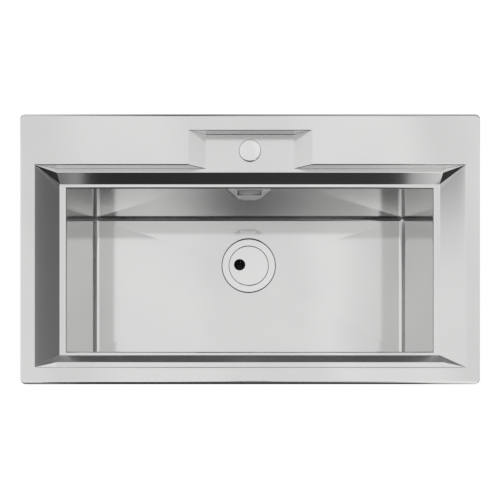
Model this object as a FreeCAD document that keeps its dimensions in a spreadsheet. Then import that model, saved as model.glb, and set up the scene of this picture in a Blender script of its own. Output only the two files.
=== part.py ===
import FreeCAD, Part
import math
import os

import Sketcher

# Frame: X to the right, Y to the back, Z up, in millimetres. Z is zero on the worktop, X and Y
# are zero at the middle of the rim.

VALUES = (
    # sheet and rim
    ("sheet", 1.0),
    ("rim_length", 860),
    ("rim_width", 505),
    ("rim_rise", 8),
    ("rim_corner_radius", 9),
    ("rim_bend_radius", 4.5),
    ("rim_edge_gap", 1),
    ("rim_side_width", 26.5),
    ("rim_back_width", 94.4),
    ("rim_front_width", 31.9),
    # recess round the bowl
    ("side_slope_run", 33.5),
    ("upper_ledge_depth", 18),
    ("lower_ledge_depth", 35),
    ("back_ledge_width", 7.4),
    ("front_ledge_width", 9.5),
    ("back_slope_run", 14.7),
    ("front_slope_run", 12.8),
    ("side_lower_ledge", 12.5),
    ("back_lower_ledge", 8.2),
    ("front_lower_ledge", 8.8),
    # bowl
    ("bowl_edge_radius", 2.5),
    ("bowl_depth", 210),
    ("bowl_floor_radius", 9),
    ("floor_fall", 3.5),
    ("ledge_overlap", 3),
    # tap ledge
    ("tap_floor_length", 167.8),
    ("tap_slope_run", 32),
    ("tap_back_margin", 29.7),
    ("tap_back_lean", 1.3),
    ("tap_hole_diameter", 35),
    ("tap_hole_margin", 60.3),
    ("tap_plate_length", 120),
    ("tap_plate_width", 54),
    ("tap_plate_thickness", 2.5),
    ("tap_plate_hole_margin", 1.5),
    ("cap_diameter", 41.3),
    ("cap_height", 3.2),
    ("cap_sheet", 1.2),
    ("cap_edge_radius", 1.5),
    ("cap_edge_height", 1.8),
    ("cap_knee_share", 0.5),
    ("cap_knee_drop_share", 0.25),
    ("cap_seal_bore_margin", 0.4),
    ("cap_seal_thickness", 0.8),
    ("cap_seal_margin", 0.9),
    # seal and fixing clips
    ("seal_width", 4.5),
    ("seal_inset", 5),
    ("seal_corner_radius", 4),
    ("cutout_margin", 10),
    ("rail_width", 12),
    ("rail_height", 8),
    ("rail_inset", 2),
    ("rail_slot_width", 7),
    ("long_rail_margin", 45),
    ("side_rail_margin", 62.5),
    ("side_rail_shift", 20),
    ("clip_pitch_share", 0.377),
    ("bolt_diameter", 6),
    ("bolt_length", 56),
    ("bolt_head_side", 9.4),
    ("bolt_head_height", 3),
    ("claw_drop", 43),
    ("claw_reach", 40),
    ("claw_heel", 14),
    ("claw_width", 15),
    ("claw_thickness", 2.5),
    ("claw_tip_height", 11),
    ("claw_heel_height", 7),
    ("claw_play", 0.3),
    ("claw_notch_depth", 3),
    ("claw_notch_count", 3),
    ("claw_notch_share", 0.75),
    ("claw_bend_share", 0.8),
    ("nut_width", 10),
    ("nut_height", 5),
    # waste
    ("drain_from_back_wall", 111.9),
    ("drain_recess_margin", 1.8),
    ("floor_point", 3),
    ("floor_hole_diameter", 98),
    ("waste_flange_diameter", 123),
    ("waste_flange_sheet", 1.2),
    ("waste_flange_edge_share", 0.6),
    ("waste_gasket_thickness", 0.8),
    ("waste_gasket_width", 10),
    ("gasket_inset", 1.5),
    ("under_gasket_margin", 0.5),
    ("bore_play", 0.25),
    ("cover_diameter", 91.3),
    ("cover_play", 0.6),
    ("cover_height", 4.8),
    ("cover_edge_radius", 1),
    ("finger_hole_diameter", 26.4),
    ("finger_hole_left", 21.1),
    ("finger_hole_back", 2.1),
    ("seat_width", 3.5),
    ("cup_depth", 31),
    ("cup_hole_diameter", 11),
    ("cup_hole_ring", 29),
    ("cup_hole_count", 8),
    ("basket_play", 0.8),
    ("basket_sheet", 0.8),
    ("basket_depth", 27),
    ("basket_lip", 2),
    ("basket_hole_diameter", 4),
    ("basket_ring_step", 8),
    ("basket_ring_hole_count", 6),
    ("under_gasket_thickness", 3),
    ("housing_wall", 2.5),
    ("housing_flange_width", 12),
    ("housing_flange_thickness", 3),
    ("housing_play", 0.6),
    ("housing_depth", 48),
    ("outlet_diameter", 47.8),
    ("outlet_wall", 3.9),
    ("outlet_length", 30),
    ("hub_diameter", 16),
    ("hub_height", 11),
    ("rib_thickness", 3),
    ("waste_screw_diameter", 6),
    ("waste_screw_length", 18),
    ("waste_screw_head_diameter", 14),
    ("waste_screw_head_height", 3),
    # overflow
    ("overflow_drop", 21.85),
    ("dimple_radius", 42.4),
    ("dimple_drop", 16.2),
    ("dimple_top_drop", 3),
    ("dimple_depth", 3),
    ("overflow_hole_diameter", 24),
    ("plate_length", 50),
    ("plate_height", 30.1),
    ("plate_depth", 3),
    ("plate_sheet", 0.8),
    ("plate_slot_width", 2.5),
    ("plate_slot_height", 20),
    ("plate_slot_margin", 0.9),
    ("plate_edge_radius", 0.7),
    ("fixing_plate_length", 42),
    ("fixing_plate_height", 22),
    ("fixing_plate_thickness", 1.2),
    ("fixing_screw_spacing", 34),
    ("fixing_screw_diameter", 3.5),
    ("fixing_screw_length", 8),
    ("fixing_head_diameter", 6),
    ("fixing_head_height", 0.8),
    ("overflow_gasket_thickness", 2),
    ("elbow_flange_diameter", 46),
    ("elbow_flange_thickness", 5),
    ("elbow_cup_diameter", 26),
    ("elbow_cup_depth", 28),
    ("elbow_wall", 2),
    ("pipe_diameter", 19.6),
    ("pipe_wall", 1.8),
    ("pipe_bend_radius", 26),
    ("pipe_socket_wall", 2.6),
    ("socket_length", 24),
    ("pipe_insertion", 12),
    ("pipe_play", 0.2),
    ("inlet_drop", 27.5),
    ("inlet_reach", 22),
    ("union_nut_diameter", 34),
    ("union_nut_length", 14),
    ("union_nut_lip", 2.5),
    ("union_nut_rib_count", 12),
    ("union_nut_rib_radius", 1.6),
    # sound pads
    ("pad_thickness", 2),
    ("floor_pad_start", 150),
    ("floor_pad_margin", 25),
    ("floor_pad_width", 110),
    ("floor_pad_front", 20),
    ("wall_pad_height", 100),
    ("wall_pad_drop", 45),
    ("front_pad_length", 300),
    ("side_pad_length", 200),
)

# How near two coordinates are taken as the same
TOUCH = 1e-4

doc = FreeCAD.newDocument("kitchen_sink")
sheet = doc.addObject("Spreadsheet::Sheet", "dims")
for row, (alias, number) in enumerate(VALUES, 1):
    sheet.set(f"A{row}", alias)
    sheet.set(f"B{row}", str(number))
    sheet.setAlias(f"B{row}", alias)
doc.recompute()


class Size:
    # A length as both its sheet expression and its number: the expression drives the object and
    # the number places the geometry it drives.
    def __init__(self, text, number):
        self.text = text
        self.number = number

    def joined(self, sign, other, number):
        text = other.text if isinstance(other, Size) else repr(other)
        return Size(f"({self.text} {sign} {text})", number)

    def __add__(self, other):
        return self.joined("+", other, self.number + plain(other))

    def __sub__(self, other):
        return self.joined("-", other, self.number - plain(other))

    def __mul__(self, other):
        return self.joined("*", other, self.number * plain(other))

    def __truediv__(self, other):
        return self.joined("/", other, self.number / plain(other))

    def __neg__(self):
        return Size(f"(0 - {self.text})", -self.number)


def plain(length):
    return length.number if isinstance(length, Size) else length


class Sizes:
    pass


d = Sizes()
for alias, _ in VALUES:
    setattr(d, alias, Size(f"dims.{alias}", float(sheet.get(alias))))
zero = d.sheet * 0

# Levels and lines that several pieces share
rim_top = d.rim_rise
rim_under = rim_top - d.sheet
upper_ledge_z = rim_top - d.upper_ledge_depth
lower_ledge_z = rim_top - d.lower_ledge_depth
floor_z = rim_top - d.bowl_depth
drain_z = floor_z - d.floor_fall
recess_half = d.rim_length / 2 - d.rim_side_width
recess_back = d.rim_width / 2 - d.rim_back_width
recess_front = d.rim_width / 2 - d.rim_front_width
foot_half = recess_half - d.side_slope_run
foot_back = recess_back - d.back_ledge_width - d.back_slope_run
foot_front = recess_front - d.front_ledge_width - d.front_slope_run
bowl_half = foot_half - d.side_lower_ledge
bowl_back = foot_back - d.back_lower_ledge
bowl_front = foot_front - d.front_lower_ledge
drain_y = bowl_back - d.drain_from_back_wall
tap_back = d.rim_width / 2 - d.tap_back_margin
tap_hole_y = d.rim_width / 2 - d.tap_hole_margin
wall_start_z = lower_ledge_z - d.bowl_edge_radius
cup_radius = d.cover_diameter / 2 + d.cover_play
seat_radius = cup_radius - d.seat_width
long_rail_length = d.rim_length - d.long_rail_margin * 2
side_rail_length = d.rim_width - d.side_rail_margin * 2
side_clip_y = -d.side_rail_shift
clip_pitch = long_rail_length * d.clip_pitch_share
long_rail_y = d.rim_width / 2 - d.cutout_margin - d.rail_inset - d.rail_width / 2
side_rail_x = d.rim_length / 2 - d.cutout_margin - d.rail_inset - d.rail_width / 2
rail_lip_z = rim_under - d.rail_height + d.sheet
overflow_z = wall_start_z - d.overflow_drop
dimple_floor_y = bowl_back + d.dimple_depth
elbow_face_y = dimple_floor_y + d.sheet + d.overflow_gasket_thickness
pipe_y = elbow_face_y + d.elbow_flange_thickness + d.elbow_cup_depth / 2
inlet_z = drain_z - d.inlet_drop
cup_outside = cup_radius + d.waste_flange_sheet
housing_radius = cup_outside + d.housing_play
housing_top_z = -(d.sheet + d.under_gasket_thickness)
inlet_face_y = drain_y + housing_radius + d.housing_wall + d.inlet_reach
pipe_radius = d.pipe_diameter / 2
socket_radius = pipe_radius + d.pipe_play + d.pipe_socket_wall
elbow_socket_z = overflow_z - d.elbow_cup_diameter / 2 - d.socket_length


def bind(thing, prop, length):
    thing.setExpression(prop, length.text)


def place(thing, x=zero, y=zero, z=zero):
    for axis, length in zip("xyz", (x, y, z)):
        bind(thing, f"Placement.Base.{axis}", length)


def turn(thing, axis, angle):
    placement = thing.Placement
    placement.Rotation = FreeCAD.Rotation(FreeCAD.Vector(*axis), angle)
    thing.Placement = placement


def new_body(label):
    body = doc.addObject("PartDesign::Body", label)
    body.Label = label
    return body


def new_sketch(body, role, name, rise=None):
    plane = next(f for f in body.Origin.OriginFeatures if f.Role == role)
    sketch = body.newObject("Sketcher::SketchObject", name)
    sketch.AttachmentSupport = [(plane, "")]
    sketch.MapMode = "FlatFace"
    if rise is not None:
        bind(sketch, "AttachmentOffset.Base.z", rise)
    return sketch


def bind_point(sketch, piece, end, x, y):
    # A point on an axis of the sketch is held there; any other gets its two distances
    for kind, length, axis in (("DistanceX", x, -2), ("DistanceY", y, -1)):
        if length.number == 0:
            sketch.addConstraint(Sketcher.Constraint("PointOnObject", piece, end, axis))
            continue
        index = sketch.addConstraint(
            Sketcher.Constraint(kind, -1, 1, piece, end, length.number)
        )
        bind(sketch, f"Constraints[{index}]", length)


def add_outline(sketch, points):
    first = sketch.GeometryCount
    flat = [FreeCAD.Vector(x.number, y.number, 0) for x, y in points]
    count = len(points)
    for i in range(count):
        sketch.addGeometry(Part.LineSegment(flat[i], flat[(i + 1) % count]))
    for i in range(count):
        following = first + (i + 1) % count
        sketch.addConstraint(
            Sketcher.Constraint("Coincident", first + i, 2, following, 1)
        )
    for i, (x, y) in enumerate(points):
        bind_point(sketch, first + i, 1, x, y)


def add_circle(sketch, x, y, radius):
    centre = FreeCAD.Vector(x.number, y.number, 0)
    index = sketch.addGeometry(
        Part.Circle(centre, FreeCAD.Vector(0, 0, 1), radius.number)
    )
    bind_point(sketch, index, 3, x, y)
    held = sketch.addConstraint(Sketcher.Constraint("Radius", index, radius.number))
    bind(sketch, f"Constraints[{held}]", radius)


def box_points(left, right, front, back):
    return [(left, front), (right, front), (right, back), (left, back)]


def pad(body, sketch, length, name="Pad"):
    feature = body.newObject("PartDesign::Pad", name)
    feature.Profile = sketch
    bind(feature, "Length", length)
    sketch.Visibility = False
    return feature


def pocket_through(body, sketch, name):
    feature = body.newObject("PartDesign::Pocket", name)
    feature.Profile = sketch
    feature.Type = "ThroughAll"
    feature.Midplane = True
    sketch.Visibility = False
    return feature


def turned(label, points, x=zero, y=zero, z=zero):
    # A profile in the body's XZ plane, turned about its Z axis
    body = new_body(label)
    sketch = new_sketch(body, "XZ_Plane", "Profile")
    add_outline(sketch, points)
    feature = body.newObject("PartDesign::Revolution", "Turned")
    feature.Profile = sketch
    feature.ReferenceAxis = (sketch, ["V_Axis"])
    feature.Angle = 360
    sketch.Visibility = False
    place(body, x, y, z)
    return body


def ring_points(inner, outer, low, high):
    return box_points(inner, outer, low, high)


def round_edges(body, radius, wanted, name="Rounding"):
    doc.recompute()
    base = body.Tip
    names = [
        f"Edge{i}" for i, edge in enumerate(base.Shape.Edges, 1) if wanted(edge)
    ]
    feature = body.newObject("PartDesign::Fillet", name)
    feature.Base = (base, names)
    bind(feature, "Radius", radius)
    return feature


def at_level(edge, z):
    return all(abs(v.Point.z - z.number) < TOUCH for v in edge.Vertexes)


def polar(body, feature, count, name):
    doc.recompute()
    pattern = body.newObject("PartDesign::PolarPattern", name)
    pattern.Originals = [feature]
    axis = next(f for f in body.Origin.OriginFeatures if f.Role == "Z_Axis")
    pattern.Axis = (axis, [""])
    pattern.Angle = 360
    pattern.Occurrences = int(count.number)
    body.Tip = pattern
    return pattern


def cuboid(name, x, y, z, length, width, height):
    box = doc.addObject("Part::Box", name)
    bind(box, "Length", length)
    bind(box, "Width", width)
    bind(box, "Height", height)
    place(box, x, y, z)
    return box


def cylinder(name, radius, height, x=zero, y=zero, z=zero):
    round_bar = doc.addObject("Part::Cylinder", name)
    bind(round_bar, "Radius", radius)
    bind(round_bar, "Height", height)
    place(round_bar, x, y, z)
    return round_bar


def fused(label, pieces):
    whole = doc.addObject("Part::MultiFuse", label)
    whole.Shapes = pieces
    whole.Label = label
    return whole


def less(label, base, tool):
    cut = doc.addObject("Part::Cut", label)
    cut.Base = base
    cut.Tool = tool
    cut.Label = label
    return cut


def filleted(name, base, radius, wanted):
    doc.recompute()
    rounded = doc.addObject("Part::Fillet", name)
    rounded.Base = base
    rounded.Edges = [
        (i, radius.number, radius.number)
        for i, edge in enumerate(base.Shape.Edges, 1)
        if wanted(edge)
    ]
    doc.recompute()
    return rounded


def point(x, y, z):
    return FreeCAD.Vector(x, y, z)


def solid_of(faces):
    shell = Part.makeShell(
        [Part.Face(Part.makePolygon(face + face[:1])) for face in faces]
    )
    solid = Part.makeSolid(shell)
    if solid.Volume < 0:
        solid.reverse()
    return solid


# The recess round the bowl, grown outwards by a wall thickness for its underside: a wall and a
# ledge, then a steep slope at the front and the back, one long slope at each side, and two
# three-cornered folds at each corner that run out to a point at the rim.
def recess_solid(wall):
    run, depth = d.side_slope_run.number, d.lower_ledge_depth.number
    side_shift = wall * math.hypot(run, depth) / depth
    rim_x = recess_half.number + side_shift
    end_x = foot_half.number
    foot_x = foot_half.number + side_shift
    top = rim_top.number
    ledge = upper_ledge_z.number - wall
    low = lower_ledge_z.number
    lines = []
    for sign, wall_y, ledge_width, slope_run in (
        (1, recess_back, d.back_ledge_width, d.back_slope_run),
        (-1, recess_front, d.front_ledge_width, d.front_slope_run),
    ):
        drop = d.lower_ledge_depth.number - d.upper_ledge_depth.number
        slope = slope_run.number
        shift = wall * math.hypot(slope, drop) / drop
        ledge_end = wall_y.number - ledge_width.number
        foot = sign * (ledge_end - slope + shift)
        edge = sign * (ledge_end + shift - wall * slope / drop)
        lines.append((sign * (wall_y.number + wall), edge, foot))
    faces = []
    corners = {}
    for side in (-1, 1):
        for which, (wall_y, edge_y, foot_y) in enumerate(lines):
            corners[side, which] = (
                point(side * rim_x, wall_y, top),
                point(side * end_x, wall_y, ledge),
                point(side * end_x, edge_y, ledge),
                point(side * foot_x, foot_y, low),
            )
    for which in (0, 1):
        left, right = corners[-1, which], corners[1, which]
        for i in range(3):
            faces.append([left[i], right[i], right[i + 1], left[i + 1]])
        for rim, fold, edge, foot in (left, right):
            faces.append([rim, fold, edge])
            faces.append([rim, edge, foot])
    for side in (-1, 1):
        back, front = corners[side, 0], corners[side, 1]
        faces.append([back[0], front[0], front[3], back[3]])
    for i in (0, 3):
        faces.append(
            [corners[-1, 0][i], corners[1, 0][i], corners[1, 1][i], corners[-1, 1][i]]
        )
    return solid_of(faces)


# The tap recess: level with the upper ledge, open to the bowl's recess, sloping sides
def tap_solid(wall):
    run, depth = d.tap_slope_run.number, d.upper_ledge_depth.number
    shift = wall * math.hypot(run, depth) / depth
    top = rim_top.number
    low = upper_ledge_z.number - wall
    top_x = d.tap_floor_length.number / 2 + run + shift
    low_x = top_x - run * (depth + wall) / depth
    front = recess_back.number - d.back_ledge_width.number / 2
    back_top = tap_back.number + wall
    back_low = back_top - d.tap_back_lean.number
    profiles = []
    for top_y, low_y in ((front, front), (back_top, back_low)):
        profiles.append(
            [
                point(-top_x, top_y, top),
                point(top_x, top_y, top),
                point(low_x, low_y, low),
                point(-low_x, low_y, low),
            ]
        )
    near, far = profiles
    faces = [near, far]
    for i in range(4):
        following = (i + 1) % 4
        faces.append([near[i], near[following], far[following], far[i]])
    return solid_of(faces)


def rim_solid(wall, low):
    length = d.rim_length.number - 2 * wall
    width = d.rim_width.number - 2 * wall
    top = rim_top.number - wall
    slab = Part.makeBox(
        length, width, top - low, point(-length / 2, -width / 2, low)
    )
    upright = [
        e for e in slab.Edges if abs(e.Vertexes[0].Z - e.Vertexes[1].Z) > d.sheet.number
    ]
    slab = slab.makeFillet(d.rim_corner_radius.number - wall, upright)
    upper = [e for e in slab.Edges if all(abs(v.Z - top) < TOUCH for v in e.Vertexes)]
    return slab.makeFillet(d.rim_bend_radius.number - wall, upper)


def sink_deck():
    wall = d.sheet.number
    skin = rim_solid(0, d.rim_edge_gap.number)
    hollow = rim_solid(wall, d.rim_edge_gap.number - wall)
    tray = recess_solid(wall)
    ledge = tap_solid(wall)
    whole = skin.cut(hollow).fuse([tray, ledge])
    whole = whole.cut([recess_solid(0), tap_solid(0)])
    hole = Part.makeCylinder(
        d.tap_hole_diameter.number / 2,
        3 * wall,
        point(0, tap_hole_y.number, upper_ledge_z.number - 2 * wall),
    )
    deck = doc.addObject("Part::Feature", "sink_deck")
    deck.Shape = whole.cut(hole).removeSplitter()
    deck.Label = "sink_deck"
    return deck


def frustum(name, z, y_front, y_back):
    # The falling floor: four planes from the bends that meet at the drain's middle
    wedge = doc.addObject("Part::Wedge", name)
    half = bowl_half - d.bowl_floor_radius
    small = d.floor_point
    for prop, length in (
        ("Xmin", -half),
        ("Xmax", half),
        ("Zmin", y_front),
        ("Zmax", y_back),
        ("X2min", -small),
        ("X2max", small),
        ("Z2min", drain_y - small),
        ("Z2max", drain_y + small),
        ("Ymin", zero),
        ("Ymax", d.floor_fall),
    ):
        bind(wedge, prop, length)
    turn(wedge, (1, 0, 0), -90)
    place(wedge, zero, zero, z)
    return wedge


def pan(name, wall, top_z):
    # One skin of the bowl with its floor bends
    low = floor_z - wall
    block = cuboid(
        f"{name}_block",
        -(bowl_half + wall),
        -(bowl_front + wall),
        low,
        bowl_half * 2 + wall * 2,
        bowl_back + bowl_front + wall * 2,
        top_z - low,
    )
    soft = filleted(
        f"{name}_bends",
        block,
        d.bowl_floor_radius + wall,
        lambda edge: at_level(edge, low),
    )
    fall = frustum(
        f"{name}_fall",
        low,
        -(bowl_front - d.bowl_floor_radius),
        bowl_back - d.bowl_floor_radius,
    )
    # The round recess that the waste's flange lies in
    recess = cylinder(
        f"{name}_drain_recess",
        d.waste_flange_diameter / 2 + d.drain_recess_margin + wall,
        d.floor_fall,
        zero,
        drain_y,
        drain_z - wall,
    )
    return [soft, fall, recess]


def dimple(name, wall):
    # The overflow's dimple as a tapered round boss behind the back wall, flat on top
    outer = d.dimple_radius + wall
    cone = doc.addObject("Part::Cone", f"{name}_cone")
    bind(cone, "Radius1", outer + d.sheet)
    bind(cone, "Radius2", outer - d.dimple_depth)
    bind(cone, "Height", d.dimple_depth + d.sheet)
    turn(cone, (1, 0, 0), -90)
    start_y = bowl_back - d.sheet + wall
    centre_z = wall_start_z - d.dimple_drop
    place(cone, zero, start_y, centre_z)
    limit = cuboid(
        f"{name}_limit",
        -outer * 2,
        start_y,
        centre_z - outer * 2,
        outer * 4,
        d.dimple_depth + d.sheet,
        d.dimple_drop - d.dimple_top_drop + outer * 2 + wall,
    )
    common = doc.addObject("Part::MultiCommon", name)
    common.Shapes = [cone, limit]
    return common


def sink_bowl():
    ledge = cuboid(
        "lower_ledge",
        -(foot_half + d.ledge_overlap),
        -(foot_front + d.ledge_overlap),
        lower_ledge_z - d.sheet,
        (foot_half + d.ledge_overlap) * 2,
        foot_back + foot_front + d.ledge_overlap * 2,
        d.sheet,
    )
    outside = fused(
        "bowl_outside", pan("outer", d.sheet, lower_ledge_z) + [ledge, dimple("boss", d.sheet)]
    )
    hole = cylinder(
        "floor_hole",
        d.floor_hole_diameter / 2,
        d.sheet * 4,
        zero,
        drain_y,
        drain_z - d.sheet * 2,
    )
    vent = cylinder(
        "overflow_hole",
        d.overflow_hole_diameter / 2,
        d.sheet * 4,
        zero,
        dimple_floor_y - d.sheet * 2,
        overflow_z,
    )
    turn(vent, (1, 0, 0), -90)
    inside = fused(
        "bowl_inside",
        pan("inner", zero, lower_ledge_z + d.sheet)
        + [dimple("dent", zero), hole, vent]
        + screw_pair(
            "wall_screw_hole",
            d.fixing_screw_diameter / 2 + d.bore_play,
            dimple_floor_y - d.sheet * 2,
            d.sheet * 4,
        ),
    )
    shell = less("bowl_sheet", outside, inside)
    doc.recompute()
    limit_x = bowl_half.number + TOUCH
    limit_back = bowl_back.number + TOUCH
    limit_front = -bowl_front.number - TOUCH

    def on_opening(edge):
        return at_level(edge, lower_ledge_z) and all(
            abs(v.X) < limit_x and limit_front < v.Y < limit_back for v in edge.Vertexes
        )

    bowl = filleted("sink_bowl", shell, d.bowl_edge_radius, on_opening)
    bowl.Label = "sink_bowl"
    return bowl


def rim_seal():
    body = new_body("rim_seal")
    sketch = new_sketch(body, "XY_Plane", "Ring")
    half_x = d.rim_length / 2 - d.seal_inset
    half_y = d.rim_width / 2 - d.seal_inset
    inner_x, inner_y = half_x - d.seal_width, half_y - d.seal_width
    add_outline(sketch, box_points(-half_x, half_x, -half_y, half_y))
    add_outline(sketch, box_points(-inner_x, inner_x, -inner_y, inner_y))
    pad(body, sketch, rim_under)
    outer = half_x.number
    round_edges(
        body,
        d.seal_corner_radius,
        lambda edge: all(abs(abs(v.X) - outer) < TOUCH for v in edge.Vertexes)
        and abs(edge.Vertexes[0].Z - edge.Vertexes[1].Z) > d.sheet.number,
    )
    return body


def rail(label, plane, length, x, y):
    # A channel with its slot downwards, welded under the rim
    body = new_body(label)
    sketch = new_sketch(body, plane, "Channel")
    half, slot = d.rail_width / 2, d.rail_slot_width / 2
    inner, low = half - d.sheet, -d.rail_height
    lip = low + d.sheet
    add_outline(
        sketch,
        [
            (-half, zero),
            (half, zero),
            (half, low),
            (slot, low),
            (slot, lip),
            (inner, lip),
            (inner, -d.sheet),
            (-inner, -d.sheet),
            (-inner, lip),
            (-slot, lip),
            (-slot, low),
            (-half, low),
        ],
    )
    pad(body, sketch, length).Midplane = True
    place(body, x, y, rim_under)
    return body


CLIPS = (
    # name, steps of the clip pitch along the rim, which edge
    ("front_left", -1, "front"),
    ("front_middle", 0, "front"),
    ("front_right", 1, "front"),
    ("back_left", -1, "back"),
    ("back_middle", 0, "back"),
    ("back_right", 1, "back"),
    ("left", 0, "left"),
    ("right", 0, "right"),
)


def clip_spot(step, edge):
    if edge in ("front", "back"):
        return clip_pitch * step, long_rail_y if edge == "back" else -long_rail_y
    return side_rail_x if edge == "right" else -side_rail_x, side_clip_y


def claw(name, step, edge):
    # Parked along the rim, with its toothed tip turned up
    body = new_body(f"claw_{name}")
    side = new_sketch(body, "XZ_Plane", "Side")
    reach, heel, thick = d.claw_reach, -d.claw_heel, d.claw_thickness
    add_outline(
        side,
        [
            (heel, d.claw_heel_height),
            (heel + thick, d.claw_heel_height),
            (heel + thick, zero),
            (reach - thick, zero),
            (reach - thick, d.claw_tip_height),
            (reach, d.claw_tip_height),
            (reach, -thick),
            (heel, -thick),
        ],
    )
    pad(body, side, d.claw_width, "Strip").Midplane = True
    teeth = new_sketch(body, "YZ_Plane", "Teeth")
    count = int(d.claw_notch_count.number)
    pitch = d.claw_width / count
    half = pitch * d.claw_notch_share / 2
    for i in range(count):
        middle = pitch * (i - (count - 1) / 2)
        add_outline(
            teeth,
            [
                (middle - half, d.claw_tip_height + thick),
                (middle + half, d.claw_tip_height + thick),
                (middle, d.claw_tip_height - d.claw_notch_depth),
            ],
        )
    pocket_through(body, teeth, "Notches")
    hole = new_sketch(body, "XY_Plane", "Hole")
    add_circle(hole, zero, zero, d.bolt_diameter / 2 + d.claw_play)
    pocket_through(body, hole, "BoltHole")
    corners = [(reach.number, -thick.number), (heel.number, -thick.number)]
    round_edges(
        body,
        thick * d.claw_bend_share,
        lambda edge: any(
            all(abs(v.X - x) < TOUCH and abs(v.Z - z) < TOUCH for v in edge.Vertexes)
            for x, z in corners
        ),
        "Bends",
    )
    if edge in ("left", "right"):
        turn(body, (0, 0, 1), 90)
    x, y = clip_spot(step, edge)
    place(body, x, y, -d.claw_drop)
    return body


def clip_bolts():
    bolts = []
    for name, step, edge in CLIPS:
        x, y = clip_spot(step, edge)
        half = d.bolt_head_side / 2
        head = cuboid(
            f"head_{name}",
            x - half,
            y - half,
            rail_lip_z,
            d.bolt_head_side,
            d.bolt_head_side,
            d.bolt_head_height,
        )
        shank = cylinder(
            f"shank_{name}",
            d.bolt_diameter / 2,
            d.bolt_length + d.bolt_head_height,
            x,
            y,
            rail_lip_z - d.bolt_length,
        )
        bolts.append(fused(f"bolt_{name}", [head, shank]))
    return group("clip_bolts", bolts)


def clip_nuts():
    nuts = []
    for name, step, edge in CLIPS:
        x, y = clip_spot(step, edge)
        low = -(d.claw_drop + d.claw_thickness + d.nut_height)
        prism = doc.addObject("Part::Prism", f"prism_{name}")
        prism.Polygon = 6
        bind(prism, "Circumradius", d.nut_width / math.sqrt(3))
        bind(prism, "Height", d.nut_height)
        place(prism, x, y, low)
        bore = cylinder(f"nut_bore_{name}", d.bolt_diameter / 2, d.nut_height, x, y, low)
        nuts.append(less(f"nut_{name}", prism, bore))
    return group("clip_nuts", nuts)


def group(label, members):
    compound = doc.addObject("Part::Compound", label)
    compound.Links = members
    compound.Label = label
    return compound


def tap_hole_plate():
    body = new_body("tap_hole_plate")
    sketch = new_sketch(body, "XY_Plane", "Outline")
    half_x, half_y = d.tap_plate_length / 2, d.tap_plate_width / 2
    add_outline(sketch, box_points(-half_x, half_x, -half_y, half_y))
    add_circle(sketch, zero, zero, d.tap_hole_diameter / 2 + d.tap_plate_hole_margin)
    pad(body, sketch, d.tap_plate_thickness)
    under = upper_ledge_z - d.sheet - d.tap_plate_thickness
    place(body, zero, tap_hole_y, under)
    return body


def tap_hole_cover():
    radius = d.cap_diameter / 2
    inner = radius - d.cap_sheet
    low = d.cap_seal_thickness
    shoulder = low + d.cap_edge_height
    top = low + d.cap_height
    body = turned(
        "tap_hole_cover",
        [
            (zero, top),
            (radius * d.cap_knee_share, top - (top - shoulder) * d.cap_knee_drop_share),
            (radius, shoulder),
            (radius, low),
            (inner, low),
            (inner, shoulder - d.cap_sheet),
            (zero, top - d.cap_sheet),
        ],
        zero,
        tap_hole_y,
        upper_ledge_z,
    )
    edge_radius = radius.number

    round_edges(
        body,
        d.cap_edge_radius,
        lambda edge: at_level(edge, shoulder)
        and all(abs(v.X) > edge_radius - TOUCH for v in edge.Vertexes),
    )
    return body


def tap_cover_seal():
    outer = d.cap_diameter / 2 - d.cap_seal_margin
    inner = d.tap_hole_diameter / 2 + d.cap_seal_bore_margin
    points = ring_points(inner, outer, zero, d.cap_seal_thickness)
    return turned("tap_cover_seal", points, zero, tap_hole_y, upper_ledge_z)


# Waste: levels measured from the flat of the floor round the drain
flange_radius = d.waste_flange_diameter / 2
flange_low = d.waste_gasket_thickness
flange_top = flange_low + d.waste_flange_sheet
seat_z = flange_top - d.cover_height
cup_low = -d.cup_depth
screw_hole = d.waste_screw_diameter / 2 + d.bore_play
cover_radius = d.cover_diameter / 2
cover_under = flange_top - d.waste_flange_sheet


def at_drain(label, points):
    return turned(label, points, zero, drain_y, drain_z)


def waste_gasket():
    outer = flange_radius - d.gasket_inset
    points = ring_points(
        outer - d.waste_gasket_width, outer, zero, d.waste_gasket_thickness
    )
    return at_drain("waste_gasket", points)


def under_gasket():
    inner = d.floor_hole_diameter / 2 + d.under_gasket_margin
    outer = housing_radius + d.housing_flange_width
    return at_drain(
        "waste_under_gasket", ring_points(inner, outer, housing_top_z, -d.sheet)
    )


def waste_flange():
    wall = d.waste_flange_sheet
    body = at_drain(
        "waste_flange",
        [
            (flange_radius, flange_low),
            (flange_radius, flange_top),
            (cup_radius, flange_top),
            (cup_radius, seat_z),
            (seat_radius, seat_z),
            (seat_radius, cup_low),
            (screw_hole, cup_low),
            (screw_hole, cup_low - wall),
            (seat_radius + wall, cup_low - wall),
            (seat_radius + wall, seat_z - wall),
            (cup_outside, seat_z - wall),
            (cup_outside, flange_low),
        ],
    )
    round_edges(body, wall * d.waste_flange_edge_share, lambda edge: at_level(edge, flange_top))
    hole = new_sketch(body, "XY_Plane", "DrainHole")
    add_circle(hole, d.cup_hole_ring, zero, d.cup_hole_diameter / 2)
    cut = pocket_through(body, hole, "DrainHoleCut")
    polar(body, cut, d.cup_hole_count, "DrainHoles")
    return body


def waste_screw():
    shank = d.waste_screw_diameter / 2
    head = d.waste_screw_head_diameter / 2
    return at_drain(
        "waste_screw",
        [
            (zero, cup_low + d.waste_screw_head_height),
            (head, cup_low + d.waste_screw_head_height),
            (head, cup_low),
            (shank, cup_low),
            (shank, cup_low - d.waste_screw_length),
            (zero, cup_low - d.waste_screw_length),
        ],
    )


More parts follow.
